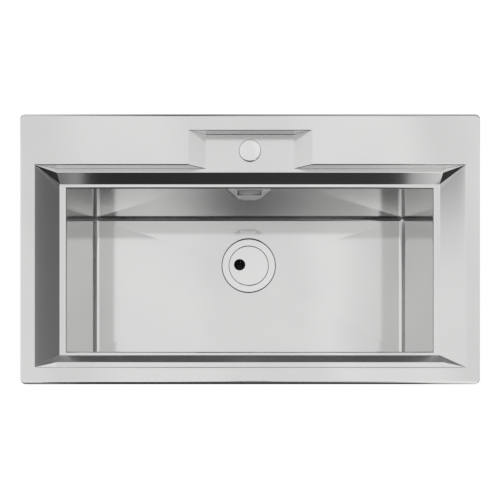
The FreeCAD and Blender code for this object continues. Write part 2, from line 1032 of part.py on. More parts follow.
def waste_cover():
    inner = cover_radius - d.waste_flange_sheet
    body = at_drain(
        "waste_cover",
        [
            (zero, cover_under),
            (inner, cover_under),
            (inner, seat_z),
            (cover_radius, seat_z),
            (cover_radius, flange_top),
            (zero, flange_top),
        ],
    )
    round_edges(body, d.cover_edge_radius, lambda edge: at_level(edge, flange_top))
    hole = new_sketch(body, "XY_Plane", "FingerHole")
    radius = d.finger_hole_diameter / 2
    add_circle(hole, -d.finger_hole_left, d.finger_hole_back, radius)
    pocket_through(body, hole, "FingerHoleCut")
    return body


def strainer_basket():
    outer = seat_radius - d.basket_play
    inner = outer - d.basket_sheet
    low = -d.basket_depth
    body = at_drain(
        "strainer_basket",
        [
            (inner, cover_under),
            (outer + d.basket_lip, cover_under),
            (outer + d.basket_lip, cover_under - d.basket_sheet),
            (outer, cover_under - d.basket_sheet),
            (outer, low),
            (zero, low),
            (zero, low + d.basket_sheet),
            (inner, low + d.basket_sheet),
        ],
    )
    ring = 1
    while (d.basket_ring_step * (ring + 1)).number < inner.number:
        hole = new_sketch(body, "XY_Plane", f"Hole{ring}")
        add_circle(hole, d.basket_ring_step * ring, zero, d.basket_hole_diameter / 2)
        cut = pocket_through(body, hole, f"Hole{ring}Cut")
        polar(body, cut, d.basket_ring_hole_count * ring, f"Ring{ring}")
        ring += 1
    return body


def waste_housing():
    wall = d.housing_wall
    low = -d.housing_depth
    outlet = d.outlet_diameter / 2
    shell = at_drain(
        "housing_shell",
        [
            (housing_radius, housing_top_z),
            (housing_radius + d.housing_flange_width, housing_top_z),
            (
                housing_radius + d.housing_flange_width,
                housing_top_z - d.housing_flange_thickness,
            ),
            (housing_radius + wall, housing_top_z - d.housing_flange_thickness),
            (housing_radius + wall, low - wall),
            (outlet, low - wall),
            (outlet, low - wall - d.outlet_length),
            (outlet - d.outlet_wall, low - wall - d.outlet_length),
            (outlet - d.outlet_wall, low),
            (housing_radius, low),
        ],
    )
    hub_z = drain_z + low
    hub = cylinder(
        "hub", d.hub_diameter / 2, d.hub_height, zero, drain_y, hub_z
    )
    reach = housing_radius + wall / 2
    half = d.rib_thickness / 2
    ribs = [
        cuboid(
            "rib_across",
            -reach,
            drain_y - half,
            hub_z,
            reach * 2,
            d.rib_thickness,
            d.hub_height,
        ),
        cuboid(
            "rib_along",
            -half,
            drain_y - reach,
            hub_z,
            d.rib_thickness,
            reach * 2,
            d.hub_height,
        ),
    ]
    inlet_start = drain_y + reach
    inlet = cylinder(
        "inlet", socket_radius, inlet_face_y - inlet_start, zero, inlet_start, inlet_z
    )
    turn(inlet, (1, 0, 0), -90)
    whole = fused("housing_whole", [shell, hub, *ribs, inlet])
    bore = cylinder(
        "inlet_bore",
        pipe_radius + d.pipe_play,
        inlet_face_y - drain_y,
        zero,
        drain_y + housing_radius - wall * 2,
        inlet_z,
    )
    turn(bore, (1, 0, 0), -90)
    thread = cylinder(
        "hub_bore",
        d.waste_screw_diameter / 2,
        d.hub_height + d.sheet,
        zero,
        drain_y,
        hub_z,
    )
    return less("waste_housing", whole, fused("housing_bores", [bore, thread]))


# Overflow: pieces stacked along Y behind the back wall
fixing_face_y = dimple_floor_y - d.fixing_plate_thickness


def along_y(name, radius, length, x, y, z):
    bar = cylinder(name, radius, length, x, y, z)
    turn(bar, (1, 0, 0), -90)
    return bar


def screw_pair(name, radius, y, length):
    half = d.fixing_screw_spacing / 2
    return [
        along_y(f"{name}_{side}", radius, length, x, y, overflow_z)
        for side, x in (("left", -half), ("right", half))
    ]


def overflow_cover():
    half_x, half_z = d.plate_length / 2, d.plate_height / 2
    skin = d.plate_sheet
    box = cuboid(
        "plate_block",
        -half_x,
        dimple_floor_y - d.plate_depth,
        overflow_z - half_z,
        d.plate_length,
        d.plate_depth,
        d.plate_height,
    )
    front_y = (dimple_floor_y - d.plate_depth).number
    soft = filleted(
        "plate_soft",
        box,
        d.plate_edge_radius,
        lambda edge: all(abs(v.Y - front_y) < TOUCH for v in edge.Vertexes),
    )
    hollow = cuboid(
        "plate_hollow",
        -half_x + skin,
        dimple_floor_y - d.plate_depth + skin,
        overflow_z - half_z + skin,
        d.plate_length - skin * 2,
        d.plate_depth,
        d.plate_height - skin * 2,
    )
    start = half_x - d.plate_slot_margin - d.plate_slot_width
    slots = [
        cuboid(
            f"plate_slot_{side}",
            x,
            dimple_floor_y - d.plate_depth * 2,
            overflow_z - d.plate_slot_height / 2,
            d.plate_slot_width,
            d.plate_depth * 2,
            d.plate_slot_height,
        )
        for side, x in (("left", -start - d.plate_slot_width), ("right", start))
    ]
    return less("overflow_cover", soft, fused("plate_openings", [hollow, *slots]))


def overflow_fixing_plate():
    half_x, half_z = d.fixing_plate_length / 2, d.fixing_plate_height / 2
    plate = cuboid(
        "fixing_block",
        -half_x,
        fixing_face_y,
        overflow_z - half_z,
        d.fixing_plate_length,
        d.fixing_plate_thickness,
        d.fixing_plate_height,
    )
    holes = screw_pair(
        "fixing_hole",
        d.fixing_screw_diameter / 2 + d.bore_play,
        fixing_face_y - d.sheet,
        d.fixing_plate_thickness + d.sheet * 2,
    )
    water = along_y(
        "fixing_water_hole",
        d.fixing_plate_height / 2 - d.sheet * 2,
        d.fixing_plate_thickness + d.sheet * 2,
        zero,
        fixing_face_y - d.sheet,
        overflow_z,
    )
    tools = fused("fixing_holes", [*holes, water])
    return less("overflow_fixing_plate", plate, tools)


def overflow_screws():
    radius = d.fixing_screw_diameter / 2
    heads = screw_pair(
        "screw_head",
        d.fixing_head_diameter / 2,
        fixing_face_y - d.fixing_head_height,
        d.fixing_head_height,
    )
    shanks = screw_pair("screw_shank", radius, fixing_face_y, d.fixing_screw_length)
    screws = [
        fused(f"overflow_screw_{i}", [head, shank])
        for i, (head, shank) in enumerate(zip(heads, shanks))
    ]
    return group("overflow_screws", screws)


def overflow_gasket():
    thick = d.overflow_gasket_thickness
    y = elbow_face_y - thick
    disc = along_y("gasket_disc", d.elbow_flange_diameter / 2, thick, zero, y, overflow_z)
    hole = along_y(
        "gasket_hole",
        d.elbow_cup_diameter / 2,
        thick * 3,
        zero,
        y - thick,
        overflow_z,
    )
    screws = screw_pair(
        "gasket_screw_hole",
        d.fixing_screw_diameter / 2 + d.bore_play,
        y - thick,
        thick * 3,
    )
    return less("overflow_gasket", disc, fused("gasket_holes", [hole, *screws]))


def overflow_elbow():
    cup = d.elbow_cup_diameter / 2
    cup_end = elbow_face_y + d.elbow_flange_thickness + d.elbow_cup_depth
    flange = along_y(
        "elbow_flange",
        d.elbow_flange_diameter / 2,
        d.elbow_flange_thickness,
        zero,
        elbow_face_y,
        overflow_z,
    )
    barrel = along_y(
        "elbow_barrel",
        cup + d.elbow_wall,
        cup_end + d.elbow_wall - elbow_face_y,
        zero,
        elbow_face_y,
        overflow_z,
    )
    socket = cylinder(
        "elbow_socket",
        socket_radius,
        overflow_z - elbow_socket_z,
        zero,
        pipe_y,
        elbow_socket_z,
    )
    inside = along_y(
        "elbow_inside",
        cup,
        cup_end - elbow_face_y + d.sheet,
        zero,
        elbow_face_y - d.sheet,
        overflow_z,
    )
    bore = cylinder(
        "elbow_bore",
        pipe_radius + d.pipe_play,
        overflow_z - elbow_socket_z + d.sheet,
        zero,
        pipe_y,
        elbow_socket_z - d.sheet,
    )
    holes = screw_pair(
        "elbow_screw_hole",
        d.fixing_screw_diameter / 2,
        elbow_face_y - d.sheet,
        d.elbow_flange_thickness + d.sheet * 2,
    )
    outside = fused("elbow_outside", [flange, barrel, socket])
    return less("overflow_elbow", outside, fused("elbow_openings", [inside, bore, *holes]))


def pipe_skin(name, radius, spare):
    # A straight drop, a quarter bend and a straight run forward to the housing
    bend = d.pipe_bend_radius
    drop_z = inlet_z + bend
    drop_top = elbow_socket_z + d.pipe_insertion + spare
    drop = cylinder(f"{name}_drop", radius, drop_top - drop_z, zero, pipe_y, drop_z)
    quarter = doc.addObject("Part::Torus", f"{name}_bend")
    bind(quarter, "Radius1", bend)
    bind(quarter, "Radius2", radius)
    quarter.Angle3 = 90
    placement = quarter.Placement
    placement.Rotation = FreeCAD.Rotation(
        FreeCAD.Vector(0, 1, 0), FreeCAD.Vector(0, 0, -1), FreeCAD.Vector(-1, 0, 0)
    )
    quarter.Placement = placement
    place(quarter, zero, pipe_y - bend, drop_z)
    start = inlet_face_y - d.pipe_insertion - spare
    run = along_y(f"{name}_run", radius, pipe_y - bend - start, zero, start, inlet_z)
    return fused(name, [drop, quarter, run])


def overflow_pipe():
    return less(
        "overflow_pipe",
        pipe_skin("pipe_outside", pipe_radius, zero),
        pipe_skin("pipe_inside", pipe_radius - d.pipe_wall, d.sheet),
    )


def union_nut(label, y, z, tilt):
    # A ribbed ring over the socket, its lip closing on the pipe
    radius = d.union_nut_diameter / 2
    lip = pipe_radius + d.pipe_play
    socket = socket_radius + d.pipe_play
    body = turned(
        label,
        [
            (lip, -d.union_nut_lip),
            (radius, -d.union_nut_lip),
            (radius, d.union_nut_length - d.union_nut_lip),
            (socket, d.union_nut_length - d.union_nut_lip),
            (socket, zero),
            (lip, zero),
        ],
        zero,
        y,
        z,
    )
    rib = new_sketch(body, "XY_Plane", "Rib", -d.union_nut_lip)
    add_circle(rib, radius, zero, d.union_nut_rib_radius)
    bar = pad(body, rib, d.union_nut_length, "RibPad")
    polar(body, bar, d.union_nut_rib_count, "Ribs")
    if tilt:
        turn(body, (1, 0, 0), tilt)
    return body


def floor_pad(label, side):
    # Under the left or right plane of the floor, tilted with it
    body = new_body(label)
    sketch = new_sketch(body, "XY_Plane", "Outline", -d.pad_thickness)
    half = d.floor_pad_width / 2
    run = bowl_half - d.bowl_floor_radius - d.floor_point
    reach = (run + d.floor_point - d.floor_pad_start - d.floor_pad_margin) * side
    add_outline(sketch, box_points(zero, reach, -half, half))
    pad(body, sketch, d.pad_thickness)
    slope = d.floor_fall / run
    turn(body, (0, -side, 0), 1)
    tilt = Size(f"atan({slope.text})", math.degrees(math.atan(slope.number)))
    bind(body, "Placement.Rotation.Angle", tilt)
    place(
        body,
        d.floor_pad_start * side,
        drain_y - d.floor_pad_front,
        drain_z - d.sheet + (d.floor_pad_start - d.floor_point) * slope,
    )
    return body


def wall_pad(label, x, y, length, width):
    box = cuboid(
        label,
        x,
        y,
        wall_start_z - d.wall_pad_drop - d.wall_pad_height,
        length,
        width,
        d.wall_pad_height,
    )
    box.Label = label
    return box


def wall_pads():
    outside = bowl_half + d.sheet
    middle = (bowl_back - bowl_front) / 2 - d.side_pad_length / 2
    thick = d.pad_thickness
    return [
        wall_pad(
            "pad_wall_front",
            -d.front_pad_length / 2,
            -(bowl_front + d.sheet + thick),
            d.front_pad_length,
            thick,
        ),
        wall_pad("pad_wall_left", -(outside + thick), middle, thick, d.side_pad_length),
        wall_pad("pad_wall_right", outside, middle, thick, d.side_pad_length),
    ]


nodes = [
    sink_deck(),
    sink_bowl(),
    rim_seal(),
    rail("rail_front", "YZ_Plane", long_rail_length, zero, -long_rail_y),
    rail("rail_back", "YZ_Plane", long_rail_length, zero, long_rail_y),
    rail("rail_left", "XZ_Plane", side_rail_length, -side_rail_x, side_clip_y),
    rail("rail_right", "XZ_Plane", side_rail_length, side_rail_x, side_clip_y),
    *[claw(*clip) for clip in CLIPS],
    clip_bolts(),
    clip_nuts(),
    tap_hole_plate(),
    tap_hole_cover(),
    tap_cover_seal(),
    waste_gasket(),
    under_gasket(),
    waste_flange(),
    waste_screw(),
    waste_cover(),
    strainer_basket(),
    waste_housing(),
    overflow_cover(),
    overflow_fixing_plate(),
    overflow_screws(),
    overflow_gasket(),
    overflow_elbow(),
    overflow_pipe(),
    union_nut("union_nut_top", pipe_y, elbow_socket_z, 0),
    union_nut("union_nut_bottom", inlet_face_y, inlet_z, 90),
    floor_pad("pad_floor_left", -1),
    floor_pad("pad_floor_right", 1),
    *wall_pads(),
]

doc.recompute()
os.makedirs("parts", exist_ok=True)
for thing in doc.Objects:
    troubles = {"Invalid", "Error"} & set(thing.State)
    if troubles:
        raise RuntimeError(f"{thing.Label}: {sorted(troubles)}")
for node in nodes:
    shape = node.Shape
    if shape.isNull() or not shape.isValid() or shape.Volume <= 0:
        raise RuntimeError(f"{node.Label}: no valid shape")
    shape.exportStep(f"parts/{node.Label}.step")
    print(node.Label, len(shape.Solids), round(shape.Volume, 1))
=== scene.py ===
import math

import bpy
import numpy as np
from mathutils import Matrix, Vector


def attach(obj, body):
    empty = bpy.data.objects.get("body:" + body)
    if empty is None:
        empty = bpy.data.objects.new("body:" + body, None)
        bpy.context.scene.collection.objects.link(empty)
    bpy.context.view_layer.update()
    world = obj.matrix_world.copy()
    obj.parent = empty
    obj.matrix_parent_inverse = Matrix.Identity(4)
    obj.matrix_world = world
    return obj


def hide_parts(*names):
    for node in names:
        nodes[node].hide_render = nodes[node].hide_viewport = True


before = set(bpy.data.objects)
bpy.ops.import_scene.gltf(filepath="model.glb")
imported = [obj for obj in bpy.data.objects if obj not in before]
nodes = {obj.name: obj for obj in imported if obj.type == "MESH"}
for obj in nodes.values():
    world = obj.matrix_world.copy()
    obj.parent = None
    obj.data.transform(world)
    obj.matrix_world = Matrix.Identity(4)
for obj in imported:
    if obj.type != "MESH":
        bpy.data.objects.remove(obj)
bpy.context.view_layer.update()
print("frame loaded")

# Lengths below are in millimetres in the part's own frame; a mesh is scaled to metres when it is
# made
mm = 0.001
# Places closer than the first are the same; the second keeps a division from one by nothing
near, least = 1e-6, 1e-9


def ramp(values, width):
    # Zero below, the value itself above, and a parabola between for the rounded corner
    rounded = (values + width) ** 2 / (4 * width)
    return np.where(values <= -width, 0, np.where(values >= width, values, rounded))


def softClamp(values, width):
    # From 0 to 1 in a straight line, both corners rounded over the width
    return ramp(values, width) - ramp(values - 1, width)


def around(centre, width, count=7):
    # Evenly spaced lines from one width below the centre to one above
    return np.linspace(centre - width, centre + width, count)


def roundedProfiles(corners, reaches, steps):
    # One profile per column: each inner corner becomes a quadratic curve that starts and ends its
    # reach away, or just under half of a shorter side
    before = corners[:, 1:-1] - corners[:, :-2]
    after = corners[:, 2:] - corners[:, 1:-1]
    lengthBefore = np.linalg.norm(before, axis=2, keepdims=True)
    lengthAfter = np.linalg.norm(after, axis=2, keepdims=True)
    justUnderHalf = 0.47
    room = justUnderHalf * np.minimum(lengthBefore, lengthAfter)
    reach = np.minimum(np.asarray(reaches)[None, :, None], room)
    start = corners[:, 1:-1] - before / np.maximum(lengthBefore, least) * reach
    end = corners[:, 1:-1] + after / np.maximum(lengthAfter, least) * reach
    rows = [corners[:, :1]]
    for i in range(start.shape[1]):
        a, b, c = start[:, i], corners[:, i + 1], end[:, i]
        for share in np.linspace(0, 1, steps + 1):
            curve = (1 - share) ** 2 * a + 2 * share * (1 - share) * b + share**2 * c
            rows.append(curve[:, None])
    rows.append(corners[:, -1:])
    return np.concatenate(rows, axis=1)


def gridFaces(rows, columns, closed=False):
    # The quad between each pair of neighbouring rows and columns; closed joins the last column
    # to the first
    r = np.arange(rows - 1)[:, None]
    c = np.arange(columns if closed else columns - 1)[None, :]
    following = (c + 1) % columns
    return np.stack(
        [
            (r * columns + c).ravel(),
            (r * columns + following).ravel(),
            ((r + 1) * columns + following).ravel(),
            ((r + 1) * columns + c).ravel(),
        ],
        axis=1,
    )


def ownCorners(faces):
    # True where a corner isn't the point before it: a quad with two corners at one point is a
    # triangle
    return faces != np.roll(faces, 1, axis=1)


class Surface:
    # Patches of quads gathered into one mesh, with shared points joined
    def __init__(self):
        self.points = []
        self.faces = []
        self.count = 0

    def patch(self, grid, flip=False, closed=False):
        # One grid of points; flip turns its faces round
        rows, columns = grid.shape[:2]
        faces = gridFaces(rows, columns, closed)
        if flip:
            faces = faces[:, ::-1]
        self.points.append(grid.reshape(-1, 3))
        self.faces.append(faces + self.count)
        self.count += rows * columns

    def joined(self):
        # Points that agree to a thousandth of a millimetre become one, and a face that is left
        # with fewer than three corners, or with two opposite ones at one point, goes
        points = np.concatenate(self.points)
        _, first, index = np.unique(
            np.round(points, 3), axis=0, return_index=True, return_inverse=True
        )
        faces = index.ravel()[np.concatenate(self.faces)]
        folded = (faces[:, 0] == faces[:, 2]) | (faces[:, 1] == faces[:, 3])
        whole = ownCorners(faces).sum(axis=1) > 2
        return points[first], faces[whole & ~folded]


sheetRules = {
    # how weakly a point holds its place against the faces round it, and the farthest that the
    # second skin moves at a fold, in thicknesses
    "hold": 1e-3,
    "farthest": 2.2,
}


def withThickness(points, faces, thickness):
    # A second skin, moved in by the offset that stands the sheet's thickness off each face at the
    # point (least squares), and a strip along every open edge. A face's normal is the cross
    # product of its diagonals
    corners = points[faces]
    normals = np.cross(corners[:, 2] - corners[:, 0], corners[:, 3] - corners[:, 1])
    sizes = np.linalg.norm(normals, axis=1, keepdims=True)
    unit = normals / np.maximum(sizes, least)
    own = ownCorners(faces)
    face, place = np.nonzero(own & (sizes >= least))
    at = faces[face, place]
    system = np.zeros((len(points), 3, 3))
    target = np.zeros((len(points), 3))
    np.add.at(system, at, (unit[:, :, None] * unit[:, None, :])[face])
    np.add.at(target, at, unit[face] * thickness)
    system += np.eye(3) * sheetRules["hold"]
    offset = np.linalg.solve(system, target[:, :, None])[:, :, 0]
    length = np.linalg.norm(offset, axis=1, keepdims=True)
    farthest = sheetRules["farthest"] * thickness
    offset *= np.minimum(1, farthest / np.maximum(length, least))

    # An edge is open where no face runs along it the other way
    count = len(points)
    a, b = np.roll(faces, 1, axis=1)[own], faces[own]
    opened = ~np.isin(b * count + a, a * count + b)
    a, b = a[opened], b[opened]
    strip = np.column_stack([b, a, a + count, b + count])
    skins = np.concatenate([points, points - offset])
    return skins, np.concatenate([faces, faces[:, ::-1] + count, strip])


def makeMesh(name, points, faces, sharpAngle=24):
    # Smooth but for edges past the sharp angle in degrees, with large faces ruling the shading
    mesh = bpy.data.meshes.new(name)
    kept = zip(faces, ownCorners(faces))
    mesh.from_pydata((points * mm).tolist(), [], [face[own].tolist() for face, own in kept])
    mesh.validate()
    mesh.shade_smooth()
    mesh.set_sharp_from_angle(angle=math.radians(sharpAngle))
    piece = bpy.data.objects.new(name, mesh)
    bpy.context.scene.collection.objects.link(piece)
    modifier = piece.modifiers.new("flatFacesFirst", "WEIGHTED_NORMAL")
    modifier.keep_sharp = True
    modifier.weight = 100
    return piece


# Deck: rim, tap recess and the slopes down to the lower ledge. The bend is the rim's rolled edge,
# with a share of its width on the short sides and at the back and a share of its drop at the back.
# The back and front lines hold the wall's y, the ledge's width, the steep slope's run and the
# reach of the level below it
deck = {
    "halfLength": 430,
    "halfWidth": 252.5,
    "top": 8,
    "skirtLow": 1,
    "cornerRadius": 9,
    "cornerSteps": 10,
    "bend": 6.4,
    "bendDrop": 3.8,
    "bendSteps": 10,
    "sideBendShare": 0.2,
    "backBendShare": 1.05,
    "backDropShare": 0.4,
    "backDropStart": 225,
    "backDropRun": 20,
    "backDropRound": 0.2,
    "flatInset": 12,
    "recessHalf": 403.6,
    "footHalf": 369.0,
    "innerHalf": 367.6,
    "back": (158.3, 7.4, 16.2, 0.5),
    "front": (-220.6, -9.5, -13.9, -0.9),
    "upperDepth": 18,
    "lowerDepth": 35,
    "edgeRound": 2.0,
    "ledgeRound": 0.5,
    "tapFoldRound": 1.2,
    "slopeRound": 0.9,
    "footRound": 0.9,
    "sideRound": 0.8,
    "tapFloorHalf": 83.9,
    "tapTopHalf": 115.9,
    "tapBack": 222.4,
    "tapRound": 1.0,
    "tapEdgeRound": 1.4,
    "holeBack": 192.2,
    "holeRadius": 17.5,
    "holeSquare": 26,
    "thickness": 1.0,
    # lines of the grid: first, last and how many between two folds, the last one before the rim,
    # and how many along half the hole's square, a rounded fold, a side slope and the rim's sides
    "spans": ((34, 80, 6), (90, 110, 5), (125, 360, 13), (373, 399, 9)),
    "lastLine": 410,
    "squareSteps": 5,
    "foldSteps": 6,
    "slopeLines": 13,
    "rimLines": 9,
}


def deckColumns():
    # The x of each line of the grid, close together at every fold and mirrored about the middle
    besideHole, onTapSlope, overBowl, onSideSlope = [np.linspace(*span) for span in deck["spans"]]
    half = np.concatenate(
        [
            np.linspace(0, deck["holeSquare"], deck["squareSteps"] + 1),
            besideHole,
            around(deck["tapFloorHalf"], deck["tapRound"]),
            onTapSlope,
            around(deck["tapTopHalf"], deck["tapRound"], 9),
            overBowl,
            [deck["innerHalf"]],
            around(deck["footHalf"], deck["sideRound"]),
            onSideSlope,
            around(deck["recessHalf"], deck["sideRound"]),
            [deck["lastLine"], deck["halfLength"] - deck["flatInset"]],
        ]
    )
    return np.concatenate([-half[:0:-1], half])


def sideShare(x):
    # 1 over the bowl's length, falling to 0 where the side slopes meet the rim
    run = deck["recessHalf"] - deck["footHalf"]
    share = (deck["recessHalf"] - np.abs(x)) / run
    return softClamp(share, deck["sideRound"] / run)


def tapDepth(x):
    # Full depth over the recess's floor, rising in a straight slope at each side
    run = deck["tapTopHalf"] - deck["tapFloorHalf"]
    share = (deck["tapTopHalf"] - np.abs(x)) / run
    return deck["upperDepth"] * softClamp(share, deck["tapRound"] / run)


def atColumns(x, profiles):
    # (columns, rows, 2) of y and z to (rows, columns, 3)
    wide = np.repeat(x[:, None], profiles.shape[1], axis=1)
    grid = np.dstack([wide, profiles[:, :, 0], profiles[:, :, 1]])
    return grid.transpose(1, 0, 2)


def slopeCorners(x, line, startDepth):
    # The wall, the ledge, the steep slope and the start of the level below it at a column, all
    # shrinking towards the rim's corner
    wallY, ledgeWidth, slopeRun, inward = line
    share = sideShare(x)
    top = deck["top"]
    wall = np.full_like(x, wallY)
    ledgeZ = top - deck["upperDepth"] * share
    footZ = top - deck["lowerDepth"] * share
    return np.stack(
        [
            np.stack([wall, top - startDepth], 1),
            np.stack([wall, np.minimum(ledgeZ, top - startDepth)], 1),
            np.stack([wallY - ledgeWidth * share, ledgeZ], 1),
            np.stack([wallY - (ledgeWidth + slopeRun) * share, footZ], 1),
            np.stack([wallY - (ledgeWidth + slopeRun + inward) * share, footZ], 1),
        ],
        axis=1,
    )


def aroundRectangle(x, y):
    # Points round a rectangle from its lower left corner anticlockwise, at the places x along two
    # of its sides and y along the others
    sides = [
        np.column_stack([x, np.full_like(x, y[0])])[:-1],
        np.column_stack([np.full_like(y, x[-1]), y])[:-1],
        np.column_stack([x, np.full_like(x, y[-1])])[:0:-1],
        np.column_stack([np.full_like(y, x[0]), y])[:0:-1],
    ]
    return np.concatenate(sides)


def squareToCircle(centre, square, radius, z, steps, loops=4):
    # Loops that go from a square to a circle: each point moves in a straight line to the circle's
    # point at its own angle
    line = np.linspace(-square, square, 2 * steps + 1)
    outer = aroundRectangle(line, line)
    angle = np.arctan2(outer[:, 1], outer[:, 0])
    inner = np.stack([np.cos(angle), np.sin(angle)], 1) * radius
    rows = []
    for share in np.linspace(0, 1, loops + 1):
        flat = outer * (1 - share) + inner * share + centre
        rows.append(np.column_stack([flat, np.full(len(flat), z)]))
    return np.array(rows)


def deckSurface():
    # Profiles of y and z carried along x, with a square of loops round the tap hole
    surface = Surface()
    x = deckColumns()
    top = deck["top"]
    depth = tapDepth(x)
    full = np.full_like(x, top)
    outerY = deck["halfWidth"] - deck["flatInset"]
    square = deck["holeSquare"]

    # Behind the tap recess and down its back wall, as far as the square round the hole
    holeTopY = np.full_like(x, deck["holeBack"] + square)
    corners = np.stack(
        [
            np.stack([np.full_like(x, outerY), full], 1),
            np.stack([np.full_like(x, deck["tapBack"]), full], 1),
            np.stack([np.full_like(x, deck["tapBack"]), top - depth], 1),
            np.stack([holeTopY, top - depth], 1),
        ],
        axis=1,
    )
    reaches = (deck["tapEdgeRound"], deck["tapFoldRound"])
    surface.patch(atColumns(x, roundedProfiles(corners, reaches, deck["foldSteps"])), flip=True)

    # The tap floor beside the hole's square, and the square itself
    squareLines = 2 * deck["squareSteps"] + 1
    ys = np.linspace(deck["holeBack"] + square, deck["holeBack"] - square, squareLines)
    for keep in (x <= -square + near, x >= square - near):
        part = x[keep]
        grid = np.zeros((len(ys), len(part), 3))
        grid[..., 0] = part[None, :]
        grid[..., 1] = ys[:, None]
        grid[..., 2] = (top - tapDepth(part))[None, :]
        surface.patch(grid, flip=True)
    centre = np.array([0, deck["holeBack"]])
    hole = squareToCircle(
        centre, square, deck["holeRadius"], top - deck["upperDepth"], deck["squareSteps"]
    )
    surface.patch(hole, closed=True)

    # From there over the wall, the ledge and the steep slope at the back
    backCorners = np.concatenate(
        [
            np.stack([np.full_like(x, deck["holeBack"] - square), top - depth], 1)[:, None],
            slopeCorners(x, deck["back"], depth),
        ],
        axis=1,
    )
    reaches = (deck["edgeRound"], deck["ledgeRound"], deck["slopeRound"], deck["footRound"])
    back = roundedProfiles(backCorners, reaches, deck["foldSteps"])
    surface.patch(atColumns(x, back), flip=True)

    # The front, without a tap recess
    none = np.zeros_like(x)
    frontCorners = np.concatenate(
        [
            np.stack([np.full_like(x, -outerY), full], 1)[:, None],
            slopeCorners(x, deck["front"], none),
        ],
        axis=1,
    )
    front = roundedProfiles(frontCorners, reaches, deck["foldSteps"])
    surface.patch(atColumns(x, front))

    # The side slopes between the two feet
    for keep in (x <= -deck["innerHalf"] + near, x >= deck["innerHalf"] - near):
        part = x[keep]
        start, end = back[keep, -1], front[keep, -1]
        shares = np.linspace(0, 1, deck["slopeLines"])[:, None]
        grid = np.zeros((len(shares), len(part), 3))
        grid[..., 0] = part[None, :]
        grid[..., 1] = start[None, :, 0] * (1 - shares) + end[None, :, 0] * shares
        grid[..., 2] = start[None, :, 1] * (1 - shares) + end[None, :, 1] * shares
        surface.patch(grid, flip=True)

    rimEdge(surface, x)
    return surface.joined()


def rimLoop(inset, z, x, y):
    # A rounded rectangle: straight sides at the grid's own lines, and an arc at each corner. The
    # bend is narrower on the short sides and a little wider at the back
    bent = inset <= deck["bend"]
    insetX = inset * deck["sideBendShare"] if bent else inset
    insetBack = inset * deck["backBendShare"] if bent else inset
    halfX = deck["halfLength"] - insetX
    frontY, backY = inset - deck["halfWidth"], deck["halfWidth"] - insetBack
    radiusX = max(deck["cornerRadius"] - insetX, 0)
    radiusFront = max(deck["cornerRadius"] - inset, 0)
    radiusBack = max(deck["cornerRadius"] - insetBack, 0)
    # for each side: the line that it runs along, its places on it, and the arc at its end as
    # centre x, centre y and radius along y
    sides = (
        (frontY, x, halfX - radiusX, frontY + radiusFront, radiusFront),
        (halfX, y, halfX - radiusX, backY - radiusBack, radiusBack),
        (backY, -x, -halfX + radiusX, backY - radiusBack, radiusBack),
        (-halfX, -y, -halfX + radiusX, frontY + radiusFront, radiusFront),
    )
    arc = np.radians(np.linspace(0, 90, deck["cornerSteps"] + 1)[1:-1])
    parts = []
    for turn, (fixed, along, centreX, centreY, radiusY) in enumerate(sides):
        line = np.full_like(along, fixed)
        parts.append(np.column_stack([line, along] if turn % 2 else [along, line]))
        angle = math.radians(-90 + 90 * turn) + arc
        across, up = radiusX * np.cos(angle), radiusY * np.sin(angle)
        parts.append(np.column_stack([centreX + across, centreY + up]))
    flat = np.concatenate(parts)
    return np.column_stack([flat, np.full(len(flat), z)])


def rimEdge(surface, x):
    # Round the outside: the flat, a quarter of the bend's ellipse, and the short skirt
    reach = deck["halfWidth"] - deck["flatInset"]
    y = np.linspace(-reach, reach, deck["rimLines"])
    bend, drop, top = deck["bend"], deck["bendDrop"], deck["top"]
    loops = [(deck["flatInset"], top), (deck["cornerRadius"], top), (bend, top)]
    for angle in np.radians(np.linspace(0, 90, deck["bendSteps"] + 1)[1:]):
        loops.append((bend * (1 - math.sin(angle)), top - drop * (1 - math.cos(angle))))
    loops.append((0, deck["skirtLow"]))
    grid = np.array([rimLoop(inset, z, x, y) for inset, z in loops])

    # At the back the bend drops less
    along = (grid[:-1, :, 1] - deck["backDropStart"]) / deck["backDropRun"]
    share = softClamp(along, deck["backDropRound"])
    grid[:-1, :, 2] = top - (top - grid[:-1, :, 2]) * (1 - (1 - deck["backDropShare"]) * share)
    surface.patch(grid, flip=True, closed=True)


deckPoints, deckFaces = deckSurface()
deckPoints, deckFaces = withThickness(deckPoints, deckFaces, deck["thickness"])
deckSkin = makeMesh("deckSkin", deckPoints, deckFaces)
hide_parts("sink_deck")
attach(deckSkin, "sink")
print("deck made", len(deckFaces))

